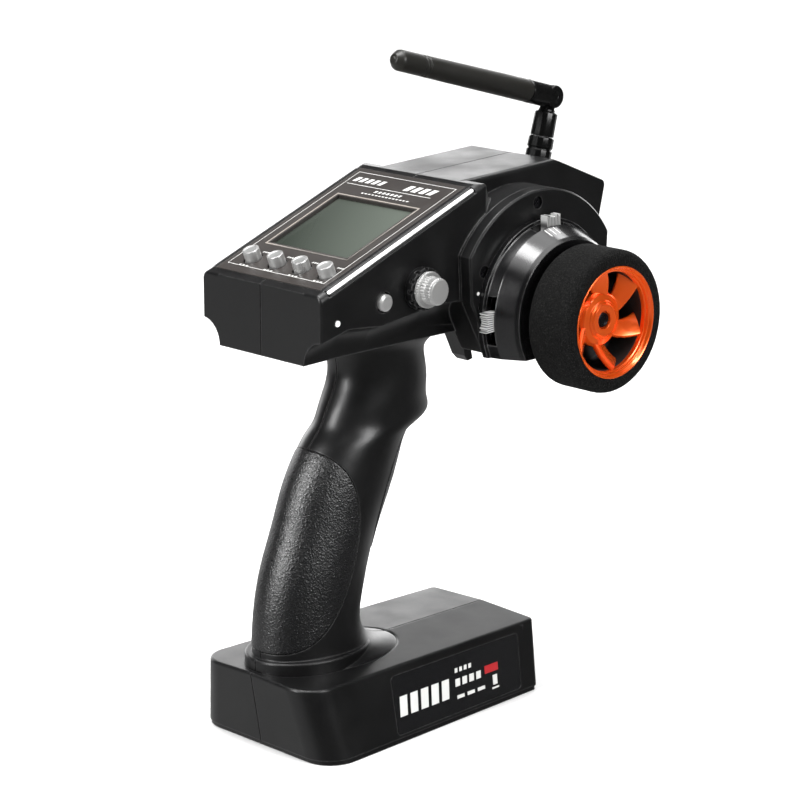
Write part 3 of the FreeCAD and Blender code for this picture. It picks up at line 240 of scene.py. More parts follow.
def foam_look():
    """Open-celled foam rubber: pores painted darker towards their middles as shade, with lighter specks painted as
    glints.
    """
    look = Look("foam_tyre_look", 0.9, specular=0.12)
    pores = look.cells(1500.0)
    # Painted glints: scattered lighter specks, where light would catch the cell walls.
    painted_glints = look.spread(look.noise(2300.0, 1.0), 0.58, 0.78, 0.0, 1.0)
    # Painted shade: darker towards each pore's middle, down in its hollow.
    tone = look.blend(look.spread(pores, 0.1, 0.7, 0.0, 1.0), (0.0015, 0.0015, 0.0015),
                      (0.0045, 0.0045, 0.0045))
    look.feed("Base Color", look.blend(painted_glints, tone, (0.028, 0.028, 0.026)))
    look.feed("Roughness", look.spread(pores, 0.0, 0.8, 1.0, 0.8))
    look.relief(pores, 0.22)
    return look.material


def rim_look():
    """Orange anodised aluminium with faint turning rings about the axle."""
    look = Look("anodised_rim_look", 0.27, metallic=0.6, coat=0.6)
    centred = look.add("Mapping", {"Vector": look.coords,
                                   "Location": (0, -AXLE_Y * MM, -AXLE_Z * MM)}).outputs["Vector"]
    flat = look.add("VectorMath", {0: centred, 1: (0, 1, 1)},
                    operation="MULTIPLY").outputs["Vector"]
    radius = look.add("VectorMath", {0: flat}, operation="LENGTH").outputs["Value"]
    rings = look.math("SINE", look.math("MULTIPLY", radius, TURNING_RINGS))
    look.feed("Base Color", look.blend(look.noise(120.0), (0.96, 0.10, 0.010), (1.0, 0.155, 0.014)))
    look.feed("Roughness", look.spread(look.noise(700.0, 2.0), 0.3, 0.7, 0.16, 0.27))
    look.relief(rings, 0.0035, 0.25)
    return look.material


def grip_look():
    """Grained rubber: small uneven pebbles, with the creases between them painted darker as shade."""
    look = Look("grip_rubber_look", 0.34, specular=1.0)
    pebbles = look.cells(1350.0, feature="SMOOTH_F1")
    # Painted shade: the creases between the pebbles are coloured darker, the pebble tops lighter.
    look.feed("Base Color", look.blend(look.spread(pebbles, 0.15, 0.6, 0.0, 1.0),
                                       (0.005, 0.005, 0.006), (0.001, 0.001, 0.001)))
    look.feed("Roughness", look.spread(pebbles, 0.1, 0.6, 0.22, 0.38))
    look.relief(look.math("SUBTRACT", look.noise(2600.0, 1.0), pebbles), 0.14)
    return look.material


def screen_look():
    """A blank liquid-crystal screen under its glossy window, with a painted reflection: a soft lighter gradient
    across it.
    """
    look = Look("screen_look", 0.16, coat=0.25, specular=0.35)
    split = look.add("SeparateXYZ", {"Vector": look.coords})
    low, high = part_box("display_lens")
    # Painted reflection: the screen's colour lightens towards its upper right, standing in for the lights mirrored
    # in its window.
    across = look.spread(split.outputs["X"], low.x, high.x, 0.0, 0.75)
    up = look.spread(split.outputs["Y"], low.y, high.y, 0.0, 0.45)
    tone = look.blend(look.math("ADD", across, up), (0.019, 0.024, 0.019), (0.105, 0.120, 0.103))
    dots = look.add("TexChecker", {"Vector": look.coords, "Scale": 4200.0}).outputs["Fac"]
    look.feed("Base Color", look.blend(look.math("MULTIPLY", dots, 0.05), tone,
                                       (0.03, 0.045, 0.035)))
    look.feed("Roughness", look.spread(look.noise(30.0), 0.3, 0.7, 0.12, 0.22))
    look.relief(look.noise(900.0), 0.002)
    return look.material


def board_look():
    """A green circuit board with its tracks."""
    look = Look("board_look", 0.4)
    tracks = look.add("TexBrick", {
        "Vector": look.coords, "Scale": 160.0, "Mortar Size": 0.03, "Color1": (0.01, 0.13, 0.05, 1),
        "Color2": (0.015, 0.17, 0.06, 1), "Mortar": (0.03, 0.3, 0.1, 1)})
    look.feed("Base Color", tracks.outputs["Color"])
    look.relief(tracks.outputs["Fac"], 0.03)
    return look.material


def ribbed_look():
    """Silver plastic with fine ribs standing radially about the axle, their grooves painted dark as shade."""
    look = Look("ribbed_silver_look", 0.34, metallic=0.5)
    split = look.add("SeparateXYZ", {"Vector": look.coords})
    up = look.math("SUBTRACT", split.outputs["Z"], AXLE_Z * MM)
    over = look.math("SUBTRACT", split.outputs["Y"], AXLE_Y * MM)
    angle = look.math("ARCTAN2", up, over)
    ribs = look.math("SINE", look.math("MULTIPLY", angle, RADIAL_RIBS))
    # Painted shade: the grooves between the ribs are coloured dark, the crests light.
    look.feed("Base Color", look.blend(look.spread(ribs, -1.0, 0.3, 0.0, 1.0),
                                       (0.10, 0.10, 0.10), (0.75, 0.75, 0.74)))
    look.feed("Roughness", look.spread(look.noise(800.0), 0.3, 0.7, 0.28, 0.42))
    look.relief(ribs, 0.10, 0.2)
    return look.material


BLACK = (0.0032, 0.0032, 0.0034)
LOOKS = {
    "case_plastic": plastic("case_plastic_look", BLACK, 0.34, edge_wear_and_highlight=0.22),
    "shield_metallic": plastic("shield_look", (0.003, 0.003, 0.0032), 0.16, grain=3800, depth=0.008,
                               bevel=0.5, edge_wear_and_highlight=0.35, specular=0.62),
    "panel_label": plastic("panel_look", (0.032, 0.028, 0.026), 0.36, grain=2200, depth=0.015,
                           lift=1.3),
    "base_label": plastic("base_label_look", (0.006, 0.006, 0.0065), 0.13, grain=900, depth=0.004,
                          coat=0.3),
    "display_glass": screen_look(),
    "lcd": plastic("lcd_look", (0.12, 0.17, 0.13), 0.3, grain=1200, depth=0.004),
    "light_trim": plastic("light_trim_look", (0.86, 0.86, 0.85), 0.25, grain=1500, depth=0.005,
                          lift=1.03),
    "silver_plastic": plastic("silver_look", (0.44, 0.44, 0.435), 0.3, grain=3000, depth=0.012,
                              lift=1.15, metallic=0.65),
    "foam": foam_look(),
    "anodised_rim": rim_look(),
    "steel": metal("steel_look", (0.55, 0.55, 0.56), 0.28),
    "black_steel": metal("black_steel_look", (0.05, 0.05, 0.055), 0.35),
    "grip_rubber": grip_look(),
    "antenna_plastic": plastic("antenna_look", (0.009, 0.0085, 0.007), 0.4, grain=3200, depth=0.02),
    "brass": metal("brass_look", (0.75, 0.56, 0.24), 0.3),
    "circuit_board": board_look(),
    "component_black": plastic("component_look", (0.006, 0.006, 0.006), 0.55),
    "cell_wrap": plastic("cell_look", (0.05, 0.12, 0.07), 0.3, grain=800, depth=0.01),
    "lead_cover": plastic("lead_look", (0.25, 0.015, 0.015), 0.45),
}
GLOSS_BLACK = plastic("gloss_black_look", (0.003, 0.003, 0.003), 0.2, depth=0.006, specular=0.35)
SPLIT_CASE = plastic("split_case_look", BLACK, 0.34, bevel=0.9, edge_wear_and_highlight=0.3, split=True)
INK = {"grain": 3000, "depth": 0.004}
MARK_WHITE = plastic("mark_white_look", (0.72, 0.72, 0.70), 0.5, lift=1.05, **INK)
MARK_TAN = plastic("mark_tan_look", (0.30, 0.27, 0.24), 0.45, lift=1.1, **INK)
MARK_RED = plastic("mark_red_look", (0.45, 0.01, 0.015), 0.4, lift=1.1, **INK)

for row in frame["record"]["subparts"]:
    mesh = NODES[row["node"]].data
    mesh.materials.clear()
    mesh.materials.append(LOOKS[row["material_slot"]])
for part in ("head_shell", "handle_shell", "base_shell"):
    for side in ("left", "right"):
        NODES[f"{part}_{side}"].data.materials[0] = SPLIT_CASE
RIBBED = ribbed_look()
for lever in ("trim_lever_upper", "trim_lever_rear"):
    NODES[lever].data.materials[0] = RIBBED

# ---- mesh helpers -------------------------------------------------------------------------------

# Points nearer the axis than this don't ripple, and edges of fewer degrees are shaded smooth.
ON_AXIS = 0.01
CREASE = 32


def fillet(points, steps, closed=True):
    """Turns each (a, b, radius) corner of a profile into an arc."""
    made = []
    count = len(points)
    for i, (a, b, radius) in enumerate(points):
        here = Vector((a, b))
        if not radius or (not closed and i in (0, count - 1)):
            made.append(here)
            continue
        back = Vector(points[i - 1][:2]) - here
        ahead = Vector(points[(i + 1) % count][:2]) - here
        half = back.angle(ahead) / 2
        reach = min(radius / math.tan(half), 0.49 * back.length, 0.49 * ahead.length)
        back.normalize()
        ahead.normalize()
        hub = here + (back + ahead).normalized() * (reach / math.cos(half))
        start, end = here + back * reach - hub, here + ahead * reach - hub
        turn = start.angle_signed(end)
        for k in range(steps + 1):
            made.append(hub + Matrix.Rotation(-turn * k / steps, 2) @ start)
    return made


def join_rings(bm, rings, closed=True):
    """Skins matching rings of corners, one to the next."""
    count = len(rings[0])
    for here, following in zip(rings, rings[1:]):
        for i in range(count if closed else count - 1):
            j = (i + 1) % count
            bm.faces.new((here[i], here[j], following[j], following[i]))


def rotated(point, angle):
    """A (along, out) profile point turned about the X axis."""
    return Vector((point[0], point[1] * math.cos(angle), point[1] * math.sin(angle)))


def revolve(bm, place, profile, steps, closed=True, ripple=None):
    """Turns a profile of (along, out) points about the X axis of a place.

    A ripple gives how far each point stands out, from its place along the axis and its angle.
    """
    rings = []
    for k in range(steps):
        angle = 2 * math.pi * k / steps
        ring = []
        for along, out in profile:
            if ripple and out > ON_AXIS:
                out += ripple(along, angle)
            ring.append(bm.verts.new(place @ rotated((along, out), angle)))
        rings.append(ring)
    join_rings(bm, rings + rings[:1], closed)


def turned(bm, place, corners, steps, arcs, ripple=None):
    """A solid turned from an open profile of (along, out, radius) corners that ends on the axis."""
    revolve(bm, place, fillet(corners, arcs, closed=False), steps, closed=False, ripple=ripple)


def slab(bm, floor, top):
    """A solid between two matching loops of points."""
    floor, top = ([bm.verts.new(point) for point in loop] for loop in (floor, top))
    bm.faces.new(top)
    bm.faces.new(floor[::-1])
    count = len(top)
    for i in range(count):
        j = (i + 1) % count
        bm.faces.new((floor[i], floor[j], top[j], top[i]))


def prism(bm, place, outline, low, high):
    """A flat outline of (a, b) points given thickness along the place's Z axis."""
    slab(bm, *([place @ Vector((a, b, level)) for a, b in outline] for level in (low, high)))


def border(bm, place, x_span, y_span, width, low, high):
    """A thin rectangular frame, mitred at its corners."""
    (left, right), (near, far) = x_span, y_span
    outer = [(left, near), (right, near), (right, far), (left, far)]
    inner = [(left + width, near + width), (right - width, near + width),
             (right - width, far - width), (left + width, far - width)]
    for i in range(4):
        j = (i + 1) % 4
        prism(bm, place, [outer[i], outer[j], inner[j], inner[i]], low, high)


def sweep(bm, sections):
    """Joins matching loops of points into a capped solid."""
    loops = [[bm.verts.new(point) for point in section] for section in sections]
    join_rings(bm, loops)
    bm.faces.new(loops[0][::-1])
    bm.faces.new(loops[-1])


def apply_modifiers(made):
    """Puts a plain mesh in the place of an object's modifiers."""
    bpy.context.view_layer.update()
    final = bpy.data.meshes.new_from_object(
        made.evaluated_get(bpy.context.evaluated_depsgraph_get()))
    made.modifiers.clear()
    made.data = final
    return final


def new_object(name, data):
    """An object in the scene, made of the mesh, lamp or camera given."""
    made = bpy.data.objects.new(name, data)
    bpy.context.scene.collection.objects.link(made)
    return made


def finish_piece(name, bm, body, slot, replaces=(), look=None, crease=CREASE):
    """Makes the object, gives it its material, and puts it on its body."""
    bmesh.ops.remove_doubles(bm, verts=bm.verts, dist=1e-7)
    bmesh.ops.recalc_face_normals(bm, faces=bm.faces)
    mesh = bpy.data.meshes.new(name)
    bm.to_mesh(mesh)
    bm.free()
    for polygon in mesh.polygons:
        polygon.use_smooth = True
    mesh.set_sharp_from_angle(angle=math.radians(crease))
    made = new_object(name, mesh)
    mesh.materials.append(look or LOOKS[slot])
    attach(made, body)
    if replaces:
        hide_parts(*replaces)
    return made


def surface_tree(node):
    """A node's surface, ready for casting points onto it."""
    mesh = NODES[node].data
    return BVHTree.FromPolygons([v.co for v in mesh.vertices], [p.vertices for p in mesh.polygons])


# ---- foam tyre and alloy wheel ------------------------------------------------------------------

TYRE_INSET, TREAD_INSET = 0.1, 0.12
BACK_SHOULDER, FRONT_SHOULDER = 3.4, 6.2
TYRE_STEP = 0.7


def foam_cells(along, angle):
    """Uneven cells in the foam, in millimetres."""
    tread = TYRE_RADIUS - TREAD_INSET
    spot = Vector((along, math.cos(angle) * tread, math.sin(angle) * tread))
    return 0.09 * noise.noise(spot * 1.3) + 0.06 * noise.noise(spot * 2.9)


def make_tyre():
    """A foam tyre with soft shoulders and an open-celled skin."""
    back, front, tread = TYRE_BACK + TYRE_INSET, TYRE_FRONT - TYRE_INSET, TYRE_RADIUS - TREAD_INSET
    corners = fillet([(back, TYRE_BORE, 0.3), (back, tread, BACK_SHOULDER),
                      (front, tread, FRONT_SHOULDER), (front, TYRE_BORE, 0.3)], steps=12)
    profile = []
    for here, following in zip(corners, corners[1:] + corners[:1]):
        parts = max(1, round((following - here).length / TYRE_STEP))
        profile += [here.lerp(following, k / parts) for k in range(parts)]
    bm = bmesh.new()
    revolve(bm, WHEEL, profile, steps=300, ripple=foam_cells)
    made = finish_piece("foam_tyre", bm, "steering_wheel", "foam", ["wheel_tyre"], crease=80)


make_tyre()

BARREL_INNER = 20.3
BLADES, BLADE_BEARING, BLADE_SWEEP, BLADE_STATIONS = 6, 28, 20, 11
# What a blade measures at the hub and at the barrel.
BLADE_OUT, BLADE_ALONG = (9.6, BARREL_INNER + 0.5), (72.9, 76.5)
BLADE_PITCH, BLADE_CHORD, BLADE_THICK = (70, 56), (7.2, 10.4), (2.8, 2.0)
BLADE_FLARE, BLADE_EDGE = 1.3, 0.7
# The black sheet that paints the shade deep in the wheel: its inset inside the barrel and its depth behind the
# lip.
SHADE_SHEET_INSET, SHADE_SHEET_DEPTH = 0.12, 4.6


def between(ends, share):
    """A value at a share of the way between two ends."""
    return ends[0] + (ends[1] - ends[0]) * share


def blade_section(bearing, share):
    """A blade's loop of points at a share of its length, from hub to barrel."""
    pitch = math.radians(between(BLADE_PITCH, share))
    wide = between(BLADE_CHORD, share ** BLADE_FLARE) / 2
    thick = between(BLADE_THICK, share) / 2
    along, out = between(BLADE_ALONG, share), between(BLADE_OUT, share)
    turn = Matrix.Rotation(math.radians(bearing + BLADE_SWEEP * share), 3, "X")
    loop = []
    for a, b in fillet([(-wide, -thick, BLADE_EDGE), (wide, -thick, BLADE_EDGE),
                        (wide, thick, BLADE_EDGE), (-wide, thick, BLADE_EDGE)], steps=3):
        spot = Vector((along - a * math.cos(pitch) + b * math.sin(pitch), out,
                       a * math.sin(pitch) + b * math.cos(pitch)))
        spot.rotate(turn)
        loop.append(WHEEL @ spot)
    return loop


def make_rim():
    """A dished wheel: two-step lip, barrel, stepped hub and six wide twisted blades.

    A black sheet behind and round the blades paints the shade deep in the wheel.
    """
    lip, inner = RIM_FRONT, BARREL_INNER
    bm = bmesh.new()
    revolve(bm, WHEEL, fillet([
        (69.6, TYRE_BORE, 0.3), (69.6, inner, 0.2), (lip - 2.7, inner, 0.2),
        (lip - 2.5, 20.75, 0.12), (lip - 1.5, 21.0, 0.15), (lip - 1.3, 21.6, 0.12),
        (lip - 0.3, 22.0, 0.2), (lip, 22.45, 0.15),
        (lip - 0.1, 22.85, 0.2), (lip - 0.5, TYRE_BORE + 0.35, 0.1), (lip - 1.2, TYRE_BORE, 0.2)],
        steps=4), steps=180)
    revolve(bm, WHEEL, fillet([
        (62.0, 3.05, 0), (75.0, 3.05, 0.1), (75.0, 3.5, 0.1), (76.7, 3.7, 0.2), (76.9, 6.4, 0.2),
        (76.3, 7.0, 0.15), (76.1, 7.6, 0.2), (75.6, 8.0, 0.3), (75.1, 10.3, 0.5), (73.6, 11.5, 0.6),
        (71.0, 11.6, 0.8), (66.0, 9.0, 0.8), (62.0, 6.0, 0.4)], steps=4), steps=140)
    for blade in range(BLADES):
        bearing = 360 / BLADES * blade + BLADE_BEARING
        sweep(bm, [blade_section(bearing, k / (BLADE_STATIONS - 1)) for k in range(BLADE_STATIONS)])
    finish_piece("alloy_rim", bm, "steering_wheel", "anodised_rim", ["wheel_rim"], crease=35)
    # Painted shade: a black sheet inside the barrel and behind the blades, where the deep wheel is in shade.
    shade_sheet_radius, buried = inner - SHADE_SHEET_INSET, inner + 0.2
    bm = bmesh.new()
    revolve(bm, WHEEL, fillet([
        (61.2, TYRE_BORE, 0.3), (61.2, 6.2, 0.4), (64.6, 6.2, 0.4), (65.4, 19.4, 0.8),
        (66.4, shade_sheet_radius, 0.3), (lip - SHADE_SHEET_DEPTH, shade_sheet_radius, 0.05), (lip - SHADE_SHEET_DEPTH, buried, 0.05),
        (69.8, buried, 0.05), (69.8, TYRE_BORE, 0.1)], steps=3), steps=120)
    finish_piece("rim_painted_shade_sheet", bm, "steering_wheel", "anodised_rim", look=LOOKS["component_black"])


make_rim()


def make_wheel_screw():
    """A socket-head screw in the hub, with its hexagonal socket."""
    bm = bmesh.new()
    turned(bm, WHEEL, [(73.9, 0, 0), (73.9, 3.0, 0), (76.1, 3.0, 0.25), (76.1, 2.2, 0.2),
                       (75.6, 2.0, 0.1), (75.6, 1.6, 0)], steps=64, arcs=3)
    sweep(bm, [[WHEEL @ rotated(corner, math.radians(60 * i)) for i in range(6)]
               for corner in ((75.6, 1.6), (74.4, 1.45))])
    finish_piece("hub_screw", bm, "steering_wheel", "black_steel", ["wheel_screw"])


make_wheel_screw()

# ---- keys, dial and trims -----------------------------------------------------------------------

KEY_SEAT, KEY_RADIUS, KEY_TOP = 3.8, 3.45, 4.5


def make_key(number):
    """A display key: a drafted cap with a raised rim round a shallow dish."""
    name = f"display_key_{number}"
    spot = PANEL_INVERSE @ middle(name)
    place = (PANEL @ Matrix.Translation((spot.x, spot.y, 0))
             @ Matrix.Rotation(math.radians(-90), 4, "Y"))
    bm = bmesh.new()
    turned(bm, place, [
        (-3.0, 0, 0), (-3.0, KEY_SEAT, 0), (-0.6, KEY_SEAT, 0.1), (-0.5, KEY_RADIUS + 0.05, 0.1),
        (KEY_TOP, KEY_RADIUS - 0.08, 0.42), (KEY_TOP - 0.05, KEY_RADIUS - 0.75, 0.2),
        (KEY_TOP - 0.32, KEY_RADIUS - 1.0, 0.2), (KEY_TOP - 0.38, 0, 0)], steps=72, arcs=5)
    finish_piece(f"key_cap_{number}", bm, name, "silver_plastic", [name])


for number in range(1, 5):
    make_key(number)


def sideways_frame(node):
    """A frame whose X axis runs through a node that turns or slides along X."""
    spot = middle(node) / MM
    return axis_frame(spot.y, spot.z)


def make_side_key():
    """The round key on the side wall, with its domed end."""
    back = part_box("side_key")[0].x / MM
    bm = bmesh.new()
    turned(bm, sideways_frame("side_key"), [
        (back, 0, 0), (back, 4.9, 0), (31.7, 4.9, 0.1), (31.8, 3.5, 0.1), (36.0, 3.5, 0.5),
        (36.5, 2.4, 1.2), (36.6, 0, 0)], steps=72, arcs=5)
    finish_piece("side_key_cap", bm, "side_key", "silver_plastic", ["side_key"])


make_side_key()

# The dial's fluted bands: start and end along its axis, number of flutes, depth and sharpness.
DIAL_BANDS = ((40.5, 43.0, 26, 0.5, 2), (43.0, 45.4, 26, 0.22, 2), (39.1, 40.4, 44, 0.24, 1))


def dial_flutes(along, angle):
    """How far the dial's fluted bands are cut in, in millimetres."""
    for start, end, flutes, depth, sharpness in DIAL_BANDS:
        if start < along < end:
            return -depth * (0.5 + 0.5 * math.cos(flutes * angle)) ** sharpness
    return 0.0


def make_dial():
    """The dial: knurled flange, ribbed grip and a plain domed cap."""
    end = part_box("dial_knob")[1].x / MM
    bm = bmesh.new()
    turned(bm, sideways_frame("dial_knob"), [
        (24.0, 0, 0), (24.0, 2.9, 0), (38.9, 2.9, 0), (39.0, 7.3, 0.15), (39.2, 7.4, 0.1),
        (40.2, 7.4, 0.1), (40.4, 7.1, 0.15), (40.5, 5.7, 0.1), (40.7, 5.7, 0), (42.3, 5.2, 0.3),
        (42.7, 5.2, 0.3), (43.2, 5.55, 0.25), (45.2, 5.5, 0.5), (end - 0.1, 4.6, 0.6), (end, 0, 0)],
        steps=420, arcs=4, ripple=dial_flutes)
    finish_piece("dial_knob_detail", bm, "dial", "silver_plastic", ["dial_knob"], crease=50)


make_dial()

STRIPS_LOW, STRIPS_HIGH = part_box("edge_trim_strips")
CASE_HALF = (STRIPS_HIGH.x - STRIPS_LOW.x) / 2 / MM
STRIP_START, STRIP_END, STRIP_FLOOR = 4.4, 89.6, -0.8
STRIP_INSET, STRIP_DROP, STRIP_TILT = 1.2, 0.85, 45
CARRIER_HALF, BEAD_HALF = 1.5, 0.78


def add_edge_strips(bm, width, dome, sunk):
    """Domed strips with rounded ends, along both edges of the slope."""
    length = STRIP_END - STRIP_START
    ends = [0.0, 0.35, 0.9, 1.5]
    stations = ends + [2.5 + 4 * k for k in range(20)] + [length - s for s in ends[::-1]]
    for side in (-1, 1):
        place = (PANEL @ Matrix.Translation((side * (CASE_HALF - STRIP_INSET), 0, -STRIP_DROP))
                 @ Matrix.Rotation(math.radians(STRIP_TILT) * side, 4, "Y"))
        sections = []
        for s in stations:
            near = min(s, length - s, width) / width
            half = width * math.sqrt(max(0.02, 1 - (1 - near) ** 2))
            rise = dome * half / width
            loop = [Vector((half * math.cos(t), STRIP_START + s, rise * math.sin(t) - sunk))
                    for t in [math.pi * k / 10 for k in range(11)]]
            loop += [Vector((-half, STRIP_START + s, STRIP_FLOOR)),
                     Vector((half, STRIP_START + s, STRIP_FLOOR))]
            sections.append([place @ point for point in loop])
        sweep(bm, sections)


def make_edge_strips():
    """A narrow light bead on a black carrier along each edge of the slope."""
    bm = bmesh.new()
    add_edge_strips(bm, CARRIER_HALF, dome=0.10, sunk=0.16)
    finish_piece("edge_strip_carriers", bm, "transmitter", "light_trim", look=LOOKS["case_plastic"],
                 crease=50)
    bm = bmesh.new()
    add_edge_strips(bm, BEAD_HALF, dome=0.26, sunk=0.13)
    finish_piece("edge_light_beads", bm, "transmitter", "light_trim", ["edge_trim_strips"],
                 crease=50)


make_edge_strips()

# ---- antenna ------------------------------------------------------------------------------------

TURN_TO_WHIP = ANTENNA @ Matrix.Rotation(math.radians(-90), 4, "Z")
TURN_TO_STEM = ANTENNA @ Matrix.Rotation(math.radians(-90), 4, "Y")

WHIP_LOW, WHIP_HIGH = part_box("antenna_whip")
WHIP_ROOT = (WHIP_HIGH.x - WHIP_LOW.x) / 2 / MM - 0.03
WHIP_TIP = WHIP_ROOT - 0.6
WHIP_LENGTH = ((FOLD_PLACE[1] - WHIP_LOW.y) / MM - WHIP_TIP) / math.cos(STEM_TILT) + WHIP_TIP - 0.1
KNUCKLE_HALF, TONGUE_GAP, TONGUE_REACH = 4.25, 2.3, 2.9
STEM_SIDES, STEM_CREASE = 14, 18
TONGUE_HALF, TONGUE_RADIUS, TONGUE_FOOT = 1.95, 2.5, -6.2


def cut_away(made, bm):
    """Takes a solid away from a piece, and leaves a plain mesh."""
    bmesh.ops.recalc_face_normals(bm, faces=bm.faces)
    cutter_mesh = bpy.data.meshes.new("cutter")
    bm.to_mesh(cutter_mesh)
    bm.free()
    cutter = new_object("cutter", cutter_mesh)
    cut = made.modifiers.new("cut", "BOOLEAN")
    cut.operation, cut.solver, cut.object = "DIFFERENCE", "EXACT", cutter
    apply_modifiers(made).set_sharp_from_angle(angle=math.radians(CREASE))
    bpy.data.objects.remove(cutter)
    bpy.data.meshes.remove(cutter_mesh)


def cut_tongue_slot(made):
    """Opens the slot that the stem's tongue stands in."""
    slot = bmesh.new()
    prism(slot, ANTENNA, [(-TONGUE_GAP, -TONGUE_REACH), (TONGUE_GAP, -TONGUE_REACH),
                          (TONGUE_GAP, 7), (-TONGUE_GAP, 7)], -12.0, TONGUE_REACH)
    cut_away(made, slot)


def make_whip():
    """The whip, lying along the stem frame's -Y: elbow sleeve with its knuckle, then the rod."""
    root, tip, length = WHIP_ROOT, WHIP_TIP, WHIP_LENGTH
    bm = bmesh.new()
    profile = fillet([(0, 0, 0), (0, root, 0), (14.6, root, 0.35), (14.9, root - 0.45, 0.1)],
                     steps=6, closed=False)
    revolve(bm, TURN_TO_WHIP, profile + [Vector((14.9, 0))], steps=96, closed=False)
    cut_tongue_slot(finish_piece("whip_sleeve", bm, "antenna_whip", "antenna_plastic",
                                 look=GLOSS_BLACK))
    bm = bmesh.new()
    turned(bm, ANTENNA, [
        (-KNUCKLE_HALF, 0, 0), (-KNUCKLE_HALF, root - 0.05, 1.2), (KNUCKLE_HALF, root - 0.05, 1.2),
        (KNUCKLE_HALF, 0, 0)], steps=96, arcs=6)
    cut_tongue_slot(finish_piece("whip_knuckle", bm, "antenna_whip", "antenna_plastic",
                                 look=GLOSS_BLACK))
    bm = bmesh.new()
    ring = length - 17.5
    turned(bm, TURN_TO_WHIP, [
        (14.7, 0, 0), (14.7, root - 0.5, 0.1), (15.3, root - 0.1, 0.2),
        (ring - 1.2, tip + 0.12, 0.15),
        (ring - 1.0, tip - 0.3, 0.05), (ring - 0.3, tip - 0.3, 0.05), (ring - 0.1, tip + 0.1, 0.12),
        (ring + 0.9, tip + 0.1, 0.12), (ring + 1.1, tip - 0.3, 0.05), (ring + 1.8, tip - 0.3, 0.05),
        (ring + 2.0, tip + 0.08, 0.12), (length - 3.05, tip, 2.6), (length - 0.35, tip - 2.3, 1.6),
        (length - 0.35, 1.1, 0.1), (length, 0.9, 0.15), (length, 0, 0)], steps=96, arcs=6)
    finish_piece("whip_rod", bm, "antenna_whip", "antenna_plastic", ["antenna_whip"])


make_whip()


def make_stem():
    """The faceted stem under the elbow, its neck and the tongue that the fold pin runs through."""
    bm = bmesh.new()
    turned(bm, TURN_TO_STEM, [
        (-17.2, 0, 0), (-17.2, 5.0, 0.25), (-7.1, 4.85, 0.5), (-6.5, 3.7, 0.1), (-5.6, 3.5, 0.2),
        (-5.5, 0, 0)], steps=STEM_SIDES, arcs=3)
    tongue = [(TONGUE_RADIUS * math.cos(t), TONGUE_RADIUS * math.sin(t))
              for t in [math.pi * k / 12 for k in range(13)]]
    tongue += [(-TONGUE_RADIUS, TONGUE_FOOT), (TONGUE_RADIUS, TONGUE_FOOT)]
    sweep(bm, [[ANTENNA @ Vector((x, y, z)) for y, z in tongue]
               for x in (-TONGUE_HALF, TONGUE_HALF)])
    finish_piece("stem_faceted", bm, "antenna_stem", "antenna_plastic", ["antenna_stem"],
                 look=GLOSS_BLACK, crease=STEM_CREASE)
    bm = bmesh.new()
    turned(bm, TURN_TO_STEM, [
        (-32.8, 0, 0), (-32.8, 5.5, 0.1), (-23.2, 5.5, 0.25), (-22.9, 5.05, 0.1),
        (-22.3, 5.05, 0.1), (-22.0, 5.45, 0.2), (-17.9, 5.4, 0.35), (-17.4, 5.0, 0.2),
        (-17.4, 0, 0)], steps=STEM_SIDES, arcs=3)
    finish_piece("stem_socket", bm, "transmitter", "case_plastic", ["antenna_collar"],
                 look=GLOSS_BLACK, crease=STEM_CREASE)


make_stem()

# ---- grip pads ----------------------------------------------------------------------------------

GRIP_MESH, GRIP_SMOOTHING = 0.36 * MM, 3
PEBBLES_PER_MM, PEBBLE_RISE, PEBBLE_SINK, PEBBLE_STEEPNESS = 0.85, 0.06, 0.05, 2.2


def make_grip(node, name):
    """A pad remeshed from the CAD solid and given a pebbled skin."""
    mesh = NODES[node].data.copy()
    made = new_object(name, mesh)
    remesh = made.modifiers.new("remesh", "REMESH")
    remesh.mode = "VOXEL"
    remesh.voxel_size = GRIP_MESH
    made.modifiers.new("smooth", "SMOOTH").iterations = GRIP_SMOOTHING
    skin = apply_modifiers(made)
    bpy.data.meshes.remove(mesh)
    skin.name = name
    for vertex, normal in zip(skin.vertices, [n.vector.copy() for n in skin.vertex_normals]):
        near, following = noise.voronoi(vertex.co / MM * PEBBLES_PER_MM)[0][:2]
        rise = PEBBLE_RISE * min(1.0, (following - near) * PEBBLE_STEEPNESS) - PEBBLE_SINK
        vertex.co += normal * MM * rise
    for polygon in skin.polygons:
        polygon.use_smooth = True
    skin.materials.clear()
    skin.materials.append(LOOKS["grip_rubber"])
    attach(made, "transmitter")
    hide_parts(node)


make_grip("grip_pad_rear", "grip_inlay_rear")
make_grip("grip_pad_front", "grip_inlay_front")

# ---- printed marks ------------------------------------------------------------------------------

INK_LOW, INK_HIGH = BEZEL_PROUD - 0.05, BEZEL_PROUD + 0.05
INK_PROUD, INK_SUNK = 0.05, 0.08


def slanted_bar(x, y, wide, tall, lean=0.35):
    """A leaning bar, used for plain decorative stripes."""
    return [(x, y), (x + wide, y), (x + wide + tall * lean, y + tall), (x + tall * lean, y + tall)]


def panel_mark(bm, outline):
    """A thin mark on the display's bezel."""
    prism(bm, PANEL, outline, INK_LOW, INK_HIGH)


